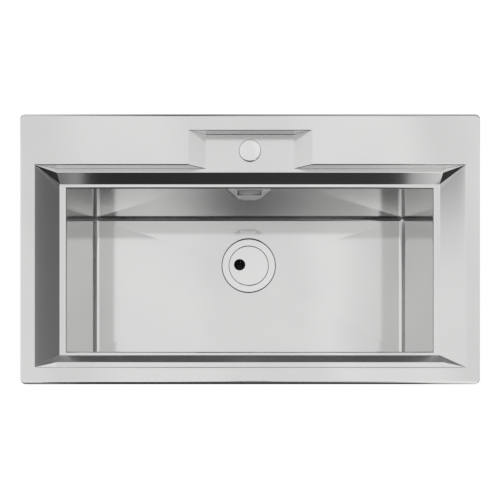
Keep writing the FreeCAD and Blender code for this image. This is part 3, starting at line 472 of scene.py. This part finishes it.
# Bowl: the lower ledge, four walls mitred at the corners, and the floor falling to the drain. The
# ledge holds its half length, back and front. The dimple is the dent behind the overflow's plate,
# and black rubber on its faces behind the plate is painted shade
bowl = {
    "halfLength": 357.1,
    "back": 127.8,
    "front": -190.7,
    "ledge": (367.6, 134.2, -196.3),
    "ledgeZ": -27,
    "floorZ": -202,
    "edgeRound": 3.3,
    "floorRound": 9.3,
    "backRoundReach": 5.8,
    "backLean": 2.8,
    "leftLean": 1.5,
    "fall": 3.5,
    "drainY": 15.9,
    "recessRadius": 63.3,
    "recessRound": 0.6,
    # how far outside the recess's radius, in its rounds, and the share of the step left there
    "recessEdge": ((0.2, 0.88), (0, 0.65), (0, 0.35), (-0.2, 0.12), (-1, 0)),
    "drainHole": 49,
    "foldWidth": 2.5,
    "flangeSeat": 56,
    "fineHalf": 46,
    "fineStep": 3.0,
    "fineGap": 12,
    "endGap": 10,
    "denseTo": -95,
    "dimpleHalf": 40.5,
    "dimpleLean": 0.42,
    "dimpleRadius": 28,
    "dimpleCentre": -61,
    "dimpleTop": -31.5,
    "dimpleLow": -91,
    "dimpleDepth": 1.5,
    "dimpleRun": 10,
    "dimpleTopRun": 3,
    "dimpleRound": 0.35,
    "paintedShadeHalf": 23.8,
    "paintedShadeLow": -63,
    "paintedShadeHigh": -39,
    "thickness": 1.0,
    "sharpAngle": 15,
    # lines of the grid over the edge, down the dense and the plain part of a wall, round the turn
    # to the floor and over the floor, and along the long and the short sides
    "edgeSteps": 6,
    "denseSteps": 25,
    "plainSteps": 6,
    "turnSteps": 8,
    "floorSteps": 8,
    "longLines": 12,
    "shortLines": 15,
}


def bowlProfile():
    # Distance in from the wall's plane, and height: rounded edge, wall, quarter turn to the floor
    edge, turn, dense = bowl["edgeRound"], bowl["floorRound"], bowl["denseTo"]
    ledgeZ, lowZ = bowl["ledgeZ"], bowl["floorZ"]
    over = np.radians(np.linspace(0, 90, bowl["edgeSteps"] + 1))
    under = np.radians(np.linspace(0, 90, bowl["turnSteps"] + 1))[1:]
    wall = np.append(
        np.linspace(ledgeZ - edge, dense, bowl["denseSteps"] + 1)[1:],
        np.linspace(dense, lowZ + turn, bowl["plainSteps"] + 1)[1:],
    )
    return np.concatenate([
        np.column_stack([edge * np.sin(over) - edge, ledgeZ - edge * (1 - np.cos(over))]),
        np.column_stack([np.zeros_like(wall), wall]),
        np.column_stack([turn * (1 - np.cos(under)), lowZ + turn * (1 - np.sin(under))]),
    ])


def bowlShares():
    # Shares along the long sides, closer together at the dimple, and along the short sides, each
    # with a line close to the corners, so that the floor's folds stay narrow
    half, fold, fine, gap = bowl["halfLength"], bowl["foldWidth"], bowl["fineHalf"], bowl["fineGap"]
    middle = np.arange(-fine, fine + near, bowl["fineStep"]) / half
    outside = np.linspace(fine + gap, half - gap, bowl["longLines"])
    far = np.append(outside, (half - fold, half)) / half
    short = (bowl["back"] - bowl["front"]) / 2
    inside = 1 - bowl["endGap"] / short
    even = np.linspace(-inside, inside, bowl["shortLines"])
    ends = np.array([1 - fold / short, 1])
    return np.concatenate([-far[::-1], middle, far]), np.concatenate([-ends[::-1], even, ends])


def bowlLoop(halfX, back, front, z, longShares, shortShares):
    # A rectangle at one height, its points at shares of its sides
    middle, half = (back + front) / 2, (back - front) / 2
    flat = aroundRectangle(longShares * halfX, middle + shortShares * half)
    return np.column_stack([flat, np.full(len(flat), z)])


def dimpleDepth(x, z):
    # A dent cut flat on top, with sides that lean in and a round bottom: distance in from its
    # outline, over the run of its sloping edge
    lean = bowl["dimpleLean"]
    side = bowl["dimpleHalf"] - np.abs(x) - lean * (bowl["dimpleTop"] - z)
    side = side / math.hypot(1, lean)
    above = z - bowl["dimpleCentre"]
    bottom = bowl["dimpleRadius"] - np.hypot(x, np.minimum(above, 0)) + np.maximum(above, 0)
    topShare = (bowl["dimpleTop"] - z) / bowl["dimpleTopRun"]
    share = np.minimum(np.minimum(side, bottom) / bowl["dimpleRun"], topShare)
    return bowl["dimpleDepth"] * softClamp(share, bowl["dimpleRound"])


def bowlSurface():
    # Loops from the ledge down the walls and in over the floor to the waste
    surface = Surface()
    longShares, shortShares = bowlShares()

    def loop(halfX, back, front, z):
        # A rectangle with the bowl's own shares
        return bowlLoop(halfX, back, front, z, longShares, shortShares)

    ledgeX, ledgeBack, ledgeFront = bowl["ledge"]
    rows = [loop(ledgeX, ledgeBack, ledgeFront, bowl["ledgeZ"])]
    for inward, z in bowlProfile():
        # The back and the left wall lean in a little towards the floor
        down = (bowl["ledgeZ"] - z) / (bowl["ledgeZ"] - bowl["floorZ"])
        back = bowl["back"] - bowl["backLean"] * down - min(inward, bowl["backRoundReach"])
        ring = loop(bowl["halfLength"] - inward, back, bowl["front"] + inward, z)
        ring[ring[:, 0] < 0, 0] *= 1 - bowl["leftLean"] * down / bowl["halfLength"]
        if inward == 0:
            onBack = np.abs(ring[:, 1] - back) < near
            ring[onBack, 1] += dimpleDepth(ring[onBack, 0], ring[onBack, 2])
        rows.append(ring)

    # Every line of the floor runs straight down towards the drain's middle, to the round recess,
    # then over its edge and across its flat
    start = rows[-1]
    low = bowl["floorZ"] - bowl["fall"]
    centre = np.array([0, bowl["drainY"], low])
    arms = start - centre
    flat = np.linalg.norm(arms[:, :2], axis=1, keepdims=True)
    radius, soft = bowl["recessRadius"], bowl["recessRound"]
    meet = centre + arms * (radius + soft) / flat
    floorShares = np.linspace(0, 1, bowl["floorSteps"] + 1)[1:]
    rows += [start * (1 - share) + meet * share for share in floorShares]
    outward = arms[:, :2] / flat
    step = meet[:, 2:] - low
    edge = [(radius + out * soft, share) for out, share in bowl["recessEdge"]]
    for distance, share in edge + [(bowl["flangeSeat"], 0), (bowl["drainHole"], 0)]:
        rows.append(np.hstack([centre[:2] + outward * distance, low + step * share]))
    surface.patch(np.array(rows), closed=True)
    return surface.joined()


bowlPoints, bowlFaces = bowlSurface()
bowlPoints, bowlFaces = withThickness(bowlPoints, bowlFaces, bowl["thickness"])
bowlSkin = makeMesh("bowlSkin", bowlPoints, bowlFaces, bowl["sharpAngle"])
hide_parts("sink_bowl")
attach(bowlSkin, "sink")
print("bowl made", len(bowlFaces))

# Rubber rings: the waste's and the cap's seals, reaching a little past the steel over them, where
# their dark edge is painted shade for the gap under the steel's rim
rings = {
    # node: body, centre y, height, inner and outer radius, thickness
    "waste_gasket": ("sink", bowl["drainY"], bowl["floorZ"] - bowl["fall"], 50, 62.8, 0.8),
    "tap_cover_seal": (
        "tap_cap", deck["holeBack"], deck["top"] - deck["upperDepth"], 18.5, 20.95, 0.8
    ),
}


def ringPiece(name, body, y, z, inner, outer, thickness):
    # A closed section turned round: flat below and above, and a half round on the outside
    bulge = thickness / 2
    section = [(inner, 0), (outer - bulge, 0)]
    for angle in np.radians(np.linspace(-90, 90, 7)[1:-1]):
        section.append((outer - bulge + bulge * math.cos(angle), bulge + bulge * math.sin(angle)))
    section += [(outer - bulge, thickness), (inner, thickness), (inner, 0)]
    turn = np.radians(np.arange(0, 360, 3))
    across, along = np.cos(turn), np.sin(turn)
    grid = np.array([
        np.column_stack([radius * across, y + radius * along, np.full(len(turn), z + up)])
        for radius, up in section
    ])
    surface = Surface()
    surface.patch(grid, flip=True, closed=True)
    points, faces = surface.joined()
    piece = makeMesh(name + "Ring", points, faces)
    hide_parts(name)
    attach(piece, body)
    return piece


ringPieces = [ringPiece(name, *values) for name, values in rings.items()]
print("rings made")


# Materials
def emptyMaterial(name):
    # A material with nothing but its output
    material = bpy.data.materials.new(name)
    material.use_nodes = True
    tree = material.node_tree
    tree.nodes.clear()
    output = tree.nodes.new("ShaderNodeOutputMaterial")
    return material, tree, output


def newMaterial(name):
    # A principled shader joined to the output
    material, tree, output = emptyMaterial(name)
    shader = tree.nodes.new("ShaderNodeBsdfPrincipled")
    tree.links.new(shader.outputs[0], output.inputs[0])
    return material, tree, shader


def ownPlace(tree):
    # The object's own coordinates, in metres
    return tree.nodes.new("ShaderNodeTexCoord").outputs["Object"]


def noise(tree, scale, detail=2):
    # A noise over the object's own coordinates, scaled along each axis
    stretch = tree.nodes.new("ShaderNodeMapping")
    stretch.inputs["Scale"].default_value = scale
    texture = tree.nodes.new("ShaderNodeTexNoise")
    texture.inputs["Scale"].default_value = 1
    texture.inputs["Detail"].default_value = detail
    tree.links.new(ownPlace(tree), stretch.inputs[0])
    tree.links.new(stretch.outputs[0], texture.inputs["Vector"])
    return texture.outputs["Fac"]


def spread(tree, value, low, high, start=0.3, end=0.7):
    # A straight line from low to high between start and end, which hold most of a noise's values
    node = tree.nodes.new("ShaderNodeMapRange")
    node.inputs["From Min"].default_value = start
    node.inputs["From Max"].default_value = end
    node.inputs["To Min"].default_value = low
    node.inputs["To Max"].default_value = high
    tree.links.new(value, node.inputs["Value"])
    return node.outputs[0]


def between(tree, value, first, second):
    # The first colour at 0, the second at 1
    node = tree.nodes.new("ShaderNodeMix")
    node.data_type = "RGBA"
    node.inputs["A"].default_value = (*first, 1)
    node.inputs["B"].default_value = (*second, 1)
    tree.links.new(value, node.inputs["Factor"])
    return node.outputs["Result"]


def bump(tree, shader, height, distance):
    # The height tips the surface by up to the distance in metres
    node = tree.nodes.new("ShaderNodeBump")
    node.inputs["Strength"].default_value = 1
    node.inputs["Distance"].default_value = distance
    tree.links.new(height, node.inputs["Height"])
    tree.links.new(node.outputs[0], shader.inputs["Normal"])


# Roughness pairs are the lowest and highest that the grain reaches, and the scales of grain and
# blotches are per metre. A gain multiplies the tones, and the flange's cup is painted dark below
# its heights: painted shade in the hollow
steelLook = {
    "light": (0.665, 0.665, 0.66),
    "dark": (0.635, 0.635, 0.632),
    "roughness": (0.095, 0.115),
    "polished": (0.07, 0.09),
    "polishedGain": 1.085,
    "brushed": (0.28, 0.32),
    "pressed": (0.35, 0.42),
    # the dent's steel is made lighter by this gain, as painted light
    "dentPaintedLight": 1.3,
    "pressedMetal": 0.6,
    "ledge": (0.19, 0.23),
    "cupShadeColour": (0.05, 0.05, 0.05),
    "cupShadeHeights": (-0.2048, -0.2042),
    "grain": (14, 900, 900),
    "crossGrain": (420, 12, 12),
    "grainDetail": 3,
    "blotch": (5, 5, 5),
}


def steelTone(tree, gain):
    # A broad soft noise shifts the steel's tone a little; the gain lightens both tones alike
    blotch = spread(tree, noise(tree, steelLook["blotch"]), 0, 1)
    light = [part * gain for part in steelLook["light"]]
    dark = [part * gain for part in steelLook["dark"]]
    return between(tree, blotch, light, dark)


def paintedCupShade(tree, tone):
    # Painted shade: dark in the flange's cup, and the tone itself from its rim up
    height = tree.nodes.new("ShaderNodeSeparateXYZ")
    tree.links.new(ownPlace(tree), height.inputs[0])
    rim = spread(tree, height.outputs["Z"], 0, 1, *steelLook["cupShadeHeights"])
    mix = tree.nodes.new("ShaderNodeMix")
    mix.data_type = "RGBA"
    mix.inputs["A"].default_value = (*steelLook["cupShadeColour"], 1)
    tree.links.new(rim, mix.inputs["Factor"])
    tree.links.new(tone, mix.inputs["B"])
    return mix.outputs["Result"]


def steelMaterial(name, roughness, grainScale, gain=1, metal=1, cup=False):
    # Fine brushing: a noise stretched along one axis turns the roughness up and down
    material, tree, shader = newMaterial(name)
    grain = noise(tree, grainScale, steelLook["grainDetail"])
    tree.links.new(spread(tree, grain, *roughness), shader.inputs["Roughness"])
    tone = steelTone(tree, gain)
    # Painted shade in the flange's cup, below its rim
    if cup:
        tone = paintedCupShade(tree, tone)
    tree.links.new(tone, shader.inputs["Base Color"])
    shader.inputs["Metallic"].default_value = metal
    return material


plainLooks = {
    # first and second colour, roughness range, noise cells per metre, bump height in metres, metal
    "zincSteel": ((0.50, 0.52, 0.54), (0.62, 0.64, 0.66), (0.32, 0.48), 90, 0.00002, 1),
    "foamSeal": ((0.035, 0.035, 0.037), (0.06, 0.06, 0.062), (0.8, 0.95), 900, 0.0003, 0),
    "blackRubber": ((0.022, 0.022, 0.022), (0.032, 0.032, 0.032), (0.5, 0.65), 400, 0.00005, 0),
    "blackPlastic": ((0.008, 0.008, 0.008), (0.012, 0.012, 0.012), (0.75, 0.85), 200, 0.00004, 0),
    "greyPlastic": ((0.50, 0.51, 0.52), (0.55, 0.56, 0.57), (0.32, 0.42), 160, 0.00004, 0),
    "soundPad": ((0.04, 0.04, 0.042), (0.075, 0.075, 0.078), (0.7, 0.9), 700, 0.0004, 0),
}
shine = {"metal": 0.5, "plain": 0.3}


def plainMaterial(name):
    # Two close tones, a roughness range and a fine bump, all from one noise
    first, second, roughness, density, height, metal = plainLooks[name]
    material, tree, shader = newMaterial(name)
    cells = noise(tree, (density, density, density))
    tone = between(tree, spread(tree, cells, 0, 1), first, second)
    tree.links.new(tone, shader.inputs["Base Color"])
    tree.links.new(spread(tree, cells, *roughness), shader.inputs["Roughness"])
    shader.inputs["Metallic"].default_value = metal
    shader.inputs["Specular IOR Level"].default_value = shine["metal" if metal else "plain"]
    bump(tree, shader, cells, height)
    return material


lengthwise, crosswise = steelLook["grain"], steelLook["crossGrain"]
bright, gain = steelLook["polished"], steelLook["polishedGain"]
satin = steelMaterial("satinSteel", steelLook["roughness"], lengthwise)
brushed = steelMaterial("brushedSteel", steelLook["brushed"], crosswise)
pressed = steelMaterial(
    "pressedSteelPaintedLight", steelLook["pressed"], lengthwise,
    steelLook["dentPaintedLight"], steelLook["pressedMetal"],
)
ledgeSteel = steelMaterial("ledgeSteel", steelLook["ledge"], lengthwise)
polished = steelMaterial("polishedSteel", bright, lengthwise, gain)
# The waste's flange: polished steel with painted shade in its cup
flange = steelMaterial("flangeSteel", bright, lengthwise, gain, cup=True)
looks = {name: plainMaterial(name) for name in plainLooks}
lookOfSlot = {
    "zinc_steel": looks["zincSteel"],
    "foam_seal": looks["foamSeal"],
    "black_rubber": looks["blackRubber"],
    "black_plastic": looks["blackPlastic"],
    "grey_plastic": looks["greyPlastic"],
    "sound_pad": looks["soundPad"],
}
slotWords = {
    "zinc_steel": ("rail_", "claw_", "clip_", "tap_hole_plate"),
    "foam_seal": ("rim_seal",),
    "black_rubber": ("tap_cover_seal", "waste_gasket", "waste_under_gasket", "overflow_gasket"),
    "black_plastic": ("strainer_basket",),
    "grey_plastic": ("waste_housing", "overflow_elbow", "overflow_pipe", "union_nut"),
    "sound_pad": ("pad_",),
}
for piece in (deckSkin, bowlSkin):
    piece.data.materials.append(satin)
for piece in ringPieces:
    piece.data.materials.append(looks["blackRubber"])

finish = {
    # least parts of a face's normal, and in millimetres how far past the named lines a finish
    # reaches, how near the ledge's height a face lies and how far out of the wall's plane
    "steepNormal": (0.5, 0.3),
    "steepPast": 8,
    "flatNormal": 0.9,
    "flatBand": 0.3,
    "sideNormal": 0.5,
    "ledgePast": 12,
    "dentDepth": 0.03,
}


def onFrontSlope(x, y, z, normals):
    # The steep slope at the front, which is brushed across
    leastY, leastZ = finish["steepNormal"]
    steep = (normals[:, 1] > leastY) & (normals[:, 2] > leastZ)
    inside = (y > deck["front"][0]) & (y < bowl["front"])
    return steep & inside & (np.abs(x) < deck["footHalf"] + finish["steepPast"])


def onBackLedge(x, y, z, normals):
    # The upper ledge at the back and the tap recess, a little duller than the rim
    flush = np.abs(z - deck["top"] + deck["upperDepth"]) < finish["flatBand"]
    flat = flush & (normals[:, 2] > finish["flatNormal"])
    side = (np.abs(x) > deck["tapFloorHalf"]) & (np.abs(x) < deck["tapTopHalf"])
    sloped = side & (y > deck["back"][0]) & (normals[:, 2] > finish["sideNormal"])
    inside = (y > deck["back"][0] - finish["ledgePast"]) & (y < deck["tapBack"])
    return inside & (flat | sloped)


def inDent(x, y, z):
    # Further out than the leaning wall's plane
    down = (bowl["ledgeZ"] - z) / (bowl["ledgeZ"] - bowl["floorZ"])
    wallY = bowl["back"] - bowl["backLean"] * down
    framed = (np.abs(x) < bowl["fineHalf"]) & (z > bowl["dimpleLow"]) & (z < bowl["dimpleTop"])
    return framed & (y > wallY + finish["dentDepth"])


def behindPlate(x, z):
    # Within the rectangle that the overflow's plate hides
    return (np.abs(x) < bowl["paintedShadeHalf"]) & (z > bowl["paintedShadeLow"]) & (z < bowl["paintedShadeHigh"])


def onPaintedShadePatch(x, y, z, normals):
    # Painted shade: black rubber on the dent's faces behind the overflow's plate, where only shade
    # falls
    return inDent(x, y, z) & behindPlate(x, z)


def onOpenDent(x, y, z, normals):
    # The rest of the dent: duller than the wall, and lighter in tone, which is painted light
    return inDent(x, y, z) & ~behindPlate(x, z)


def finishFaces(piece, material, chosen):
    # The faces that the rule picks, by their centres in millimetres and their normals
    piece.data.materials.append(material)
    polygons = piece.data.polygons
    centres = np.empty(3 * len(polygons), np.float32)
    normals = np.empty(3 * len(polygons), np.float32)
    indexes = np.empty(len(polygons), np.int32)
    polygons.foreach_get("center", centres)
    polygons.foreach_get("normal", normals)
    polygons.foreach_get("material_index", indexes)
    x, y, z = centres.reshape(-1, 3).T / mm
    indexes[chosen(x, y, z, normals.reshape(-1, 3))] = len(piece.data.materials) - 1
    polygons.foreach_set("material_index", indexes)


finishFaces(deckSkin, brushed, onFrontSlope)
finishFaces(deckSkin, ledgeSteel, onBackLedge)
# Painted shade behind the overflow's plate
finishFaces(bowlSkin, looks["blackRubber"], onPaintedShadePatch)
# The open dent: rougher steel with a lighter tone as painted light
finishFaces(bowlSkin, pressed, onOpenDent)


def lookOf(name):
    # The look of the slot whose words start the node's name, and polished steel for the rest
    if name == "waste_flange":
        return flange
    for slot, words in slotWords.items():
        if name.startswith(words):
            return lookOfSlot[slot]
    return polished


for name, node in nodes.items():
    node.data.materials.clear()
    node.data.materials.append(lookOf(name))
print("materials made")

# Studio: a plain world that is white where the camera or polished metal looks at it, a floor with
# a painted shadow, cards that show only in reflections, and one lamp
studio = {
    # the world's strength where its light lands and where it is looked at
    "landing": 0.55,
    "seen": 1,
    # the floor's half side and height in metres, its tone, and how far the painted shadow on it
    # reaches
    "floorSide": 8,
    "floorZ": -0.2885,
    "floorTone": 0.8,
    "paintedShadowReach": 0.07,
    # the brightest level of a card, and how far the lying ones are above the floor
    "cardTop": 1.5,
    "cardGap": 0.002,
    "lampPlace": (-0.6, -0.4, 2.4),
    "lampAim": (0, 0, 0),
    "lampSize": (1.8, 1.8),
    "lampPower": 30,
}
world = bpy.data.worlds.new("studio")
bpy.context.scene.world = world
world.use_nodes = True


def whiteWhereSeen(tree, plain, white):
    # The first shader for light that lands, the second for what is looked at
    rays = tree.nodes.new("ShaderNodeLightPath")
    seen = rays.outputs["Is Camera Ray"]
    for kind in ("Is Glossy Ray", "Is Transmission Ray"):
        either = tree.nodes.new("ShaderNodeMath")
        either.operation = "MAXIMUM"
        tree.links.new(seen, either.inputs[0])
        tree.links.new(rays.outputs[kind], either.inputs[1])
        seen = either.outputs[0]
    mix = tree.nodes.new("ShaderNodeMixShader")
    tree.links.new(seen, mix.inputs[0])
    tree.links.new(plain, mix.inputs[1])
    tree.links.new(white, mix.inputs[2])
    return mix.outputs[0]


def background(tree, strength):
    # Plain white at the strength
    node = tree.nodes.new("ShaderNodeBackground")
    node.inputs["Color"].default_value = (1, 1, 1, 1)
    node.inputs["Strength"].default_value = strength
    return node.outputs[0]


tree = world.node_tree
tree.nodes.clear()
output = tree.nodes.new("ShaderNodeOutputWorld")
landing = background(tree, studio["landing"])
seen = whiteWhereSeen(tree, landing, background(tree, studio["seen"]))
tree.links.new(seen, output.inputs[0])


def stagePlane(name, corners, material):
    # One flat face through the corners, in metres
    mesh = bpy.data.meshes.new(name)
    mesh.from_pydata(corners, [], [list(range(len(corners)))])
    plane = bpy.data.objects.new(name, mesh)
    plane.data.materials.append(material)
    bpy.context.scene.collection.objects.link(plane)
    return plane


def floorMaterial():
    # Pale for the light that lands on it, white where it is looked at, and greyer close under the
    # object: a painted shadow from ambient occlusion
    material, tree, output = emptyMaterial("studioFloor")
    pale = tree.nodes.new("ShaderNodeBsdfDiffuse")
    tone = studio["floorTone"]
    pale.inputs["Color"].default_value = (tone, tone, tone, 1)
    shade = tree.nodes.new("ShaderNodeAmbientOcclusion")
    shade.inputs["Distance"].default_value = studio["paintedShadowReach"]
    white = tree.nodes.new("ShaderNodeEmission")
    tree.links.new(shade.outputs["Color"], white.inputs["Color"])
    seen = whiteWhereSeen(tree, pale.outputs[0], white.outputs[0])
    tree.links.new(seen, output.inputs[0])
    return material


floorSide, floorZ = studio["floorSide"], studio["floorZ"]
stagePlane(
    "studioFloor",
    [
        (-floorSide, -floorSide, floorZ),
        (floorSide, -floorSide, floorZ),
        (floorSide, floorSide, floorZ),
        (-floorSide, floorSide, floorZ),
    ],
    floorMaterial(),
)


def cardMaterial(name, along, levels):
    # A plain card: its brightness runs in straight lines between the levels, which are stated at
    # distances along a direction
    material, tree, output = emptyMaterial(name)
    glow = tree.nodes.new("ShaderNodeEmission")
    distance = tree.nodes.new("ShaderNodeVectorMath")
    distance.operation = "DOT_PRODUCT"
    distance.inputs[1].default_value = along
    tree.links.new(ownPlace(tree), distance.inputs[0])
    first, last = levels[0][0], levels[-1][0]
    share = spread(tree, distance.outputs["Value"], 0, 1, first, last)
    steps = tree.nodes.new("ShaderNodeValToRGB")
    steps.color_ramp.elements.remove(steps.color_ramp.elements[1])
    steps.color_ramp.elements[0].position = 0
    for i, (where, level) in enumerate(levels):
        stop = steps.color_ramp.elements[0]
        if i:
            stop = steps.color_ramp.elements.new((where - first) / (last - first))
        tone = level / studio["cardTop"]
        stop.color = (tone, tone, tone, 1)
    glow.inputs["Strength"].default_value = studio["cardTop"]
    tree.links.new(share, steps.inputs[0])
    tree.links.new(steps.outputs[0], glow.inputs["Color"])
    tree.links.new(glow.outputs[0], output.inputs[0])
    return material


def standing(x0, x1, y0, y1, z0, z1):
    # Corners of a standing rectangle
    return [(x0, y0, z0), (x1, y1, z0), (x1, y1, z1), (x0, y0, z1)]


def lying(x0, x1, y0, y1, z):
    # Corners of a lying rectangle
    return [(x0, y0, z), (x1, y0, z), (x1, y1, z), (x0, y1, z)]


alongX, alongY = (1, 0, 0), (0, 1, 0)
justAboveFloor = floorZ + studio["cardGap"]
cards = {
    # the direction, (distance, level) along it, and the corners in metres
    "frontDark": (
        alongX,
        [(-1, 0.032), (-0.2, 0.04), (0.3, 0.048), (1, 0.05)],
        [
            (-0.95, -1.2, -0.28), (0.64, -1.2, -0.28), (0.77, -1.2, 0.36),
            (0.8, -1.2, 1.0), (-0.775, -1.2, 1.0), (-0.775, -1.2, 0.3),
        ],
    ),
    "frontGrey": (
        alongX,
        [
            (-2.2, 0.225), (-0.885, 0.235), (-0.83, 0.48), (-0.785, 0.24), (0, 0.2),
            (0.8, 0.5), (1.1, 1.2), (2.2, 1.2),
        ],
        standing(-2.2, 2.2, -1.25, -1.25, -0.28, 1.0),
    ),
    "frontHigh": (
        alongX,
        [
            (-1.2, 0.06), (0.1, 0.08), (0.3, 0.11), (0.5, 0.2), (0.6, 0.3),
            (0.76, 0.58), (0.93, 1.2),
        ],
        [(-0.95, -1.2, 1), (2, -1.2, 1), (2, -0.92, 1.5), (-1.1, -0.92, 1.5)],
    ),
    "rightGrey": (
        alongY, [(-0.3, 0.2), (0.9, 0.155)], standing(1.5, 1.5, -1.25, 1.9, -0.28, 0.9)
    ),
    "backHigh": (
        alongX,
        [
            (-1.1, 1), (-0.82, 0.55), (-0.64, 0.36), (-0.43, 0.15), (-0.24, 0.2),
            (-0.03, 0.35), (0.3, 0.45), (0.6, 0.52), (1.08, 0.6),
        ],
        standing(-2, 2, 1.8, 1.8, 0.4, 1.3),
    ),
    "backTop": (
        alongX,
        [
            (-1.3, 0.8), (-0.9, 0.45), (-0.7, 0.3), (-0.45, 0.13), (-0.24, 0.16),
            (-0.03, 0.28), (0.3, 0.38), (0.6, 0.43), (1.2, 0.5),
        ],
        [(-2, 1.66, 1.59), (2, 1.66, 1.59), (2, 1.8, 1.3), (-2, 1.8, 1.3)],
    ),
    "leftFade": (
        alongY,
        [(0.35, 1.02), (0.62, 0.88), (0.9, 0.55), (1.2, 0.3)],
        standing(-1.5, -1.5, -1.0, 1.9, -0.28, 0.9),
    ),
    "backGrey": (
        alongX,
        [(-1.2, 0.7), (-0.8, 0.55), (-0.25, 0.17), (0.1, 0.3), (0.8, 0.45), (1.5, 0.5)],
        standing(-2.0, 2.0, 1.8, 1.8, -0.28, 0.4),
    ),
    "floorFront": (
        alongX,
        [(-0.7, 0.03), (0.1, 0.05), (0.5, 0.2), (0.8, 1)],
        lying(-0.9, 0.9, -1.2, -0.45, justAboveFloor),
    ),
    "floorBack": (
        alongX,
        [(-1.0, 0.7), (-0.6, 0.5), (-0.25, 0.17), (0.1, 0.3), (0.7, 0.5)],
        lying(-1.0, 1.0, 0.5, 1.8, justAboveFloor),
    ),
    "fan": (
        alongX,
        [
            (-0.54, 1), (-0.45, 0.93), (-0.36, 0.8), (-0.26, 0.58), (-0.17, 0.37), (-0.08, 0.27),
            (0.02, 0.248), (0.11, 0.272), (0.2, 0.3), (0.3, 0.395), (0.49, 0.57), (0.77, 0.7),
        ],
        lying(-0.54, 0.8, -0.9, -0.59, 1.55),
    ),
    "plateShade": (alongX, [(-0.06, 0.2), (0.1, 0.2)], lying(-0.06, 0.1, -0.45, -0.36, 1.0)),
    "ledgeGlow": (alongX, [(-1.2, 1.45), (1.2, 1.45)], lying(-1.2, 1.2, -0.592, -0.49, 1.54)),
    "aboveRight": (
        alongX,
        [(0.56, 1.07), (0.66, 0.98), (0.78, 0.93), (0.95, 0.93)],
        lying(0.56, 0.95, -0.15, 0.7, 1.59),
    ),
    "above": (
        (1, 0.15, 0),
        [
            (-1.3, 1.02), (-1.1, 1.02), (-1.06, 0.95), (-0.9, 0.96), (-0.72, 1.05),
            (-0.3, 1.06), (-0.1, 1.0), (0.35, 1.0), (0.5, 1.08), (1.0, 1.07),
            (1.15, 0.95), (1.3, 0.97), (1.4, 1.04),
        ],
        lying(-3, 3, -0.9, 3, 1.6),
    ),
}
for name, (along, levels, corners) in cards.items():
    card = stagePlane(name, corners, cardMaterial(name, along, levels))
    card.visible_camera = False
    card.visible_diffuse = False
    card.visible_transmission = False
    card.visible_shadow = False


def areaLamp(name, place, aim, size, power):
    # A rectangle of light that faces its aim and isn't mirrored in the steel
    lamp = bpy.data.lights.new(name, "AREA")
    lamp.shape = "RECTANGLE"
    lamp.size, lamp.size_y = size
    lamp.energy = power
    holder = bpy.data.objects.new(name, lamp)
    bpy.context.scene.collection.objects.link(holder)
    holder.location = place
    holder.rotation_mode = "QUATERNION"
    holder.rotation_quaternion = (Vector(aim) - Vector(place)).to_track_quat("-Z", "Y")
    holder.visible_glossy = False
    return holder


areaLamp(
    "lampAbove", studio["lampPlace"], studio["lampAim"], studio["lampSize"], studio["lampPower"]
)
print("studio made")

# Camera: straight down, with the picture's middle shifted as in the photo
view = {
    # metres, millimetres of the sensor and the lens, and shares of the picture's width
    "place": (-0.0135, -0.2215, 0.8689),
    "sensor": 36,
    "lens": 33.18,
    "shift": (0.0142, 0.2354),
    "nearest": 0.01,
}
camera = bpy.data.cameras.new("camera")
cameraHolder = bpy.data.objects.new("camera", camera)
bpy.context.scene.collection.objects.link(cameraHolder)
bpy.context.scene.camera = cameraHolder
cameraHolder.location = view["place"]
cameraHolder.rotation_mode = "XYZ"
cameraHolder.rotation_euler = (0, 0, 0)
camera.sensor_width = view["sensor"]
camera.lens = view["lens"]
camera.shift_x, camera.shift_y = view["shift"]
camera.clip_start = view["nearest"]
bpy.context.scene.view_settings.view_transform = "Standard"
print("camera placed")
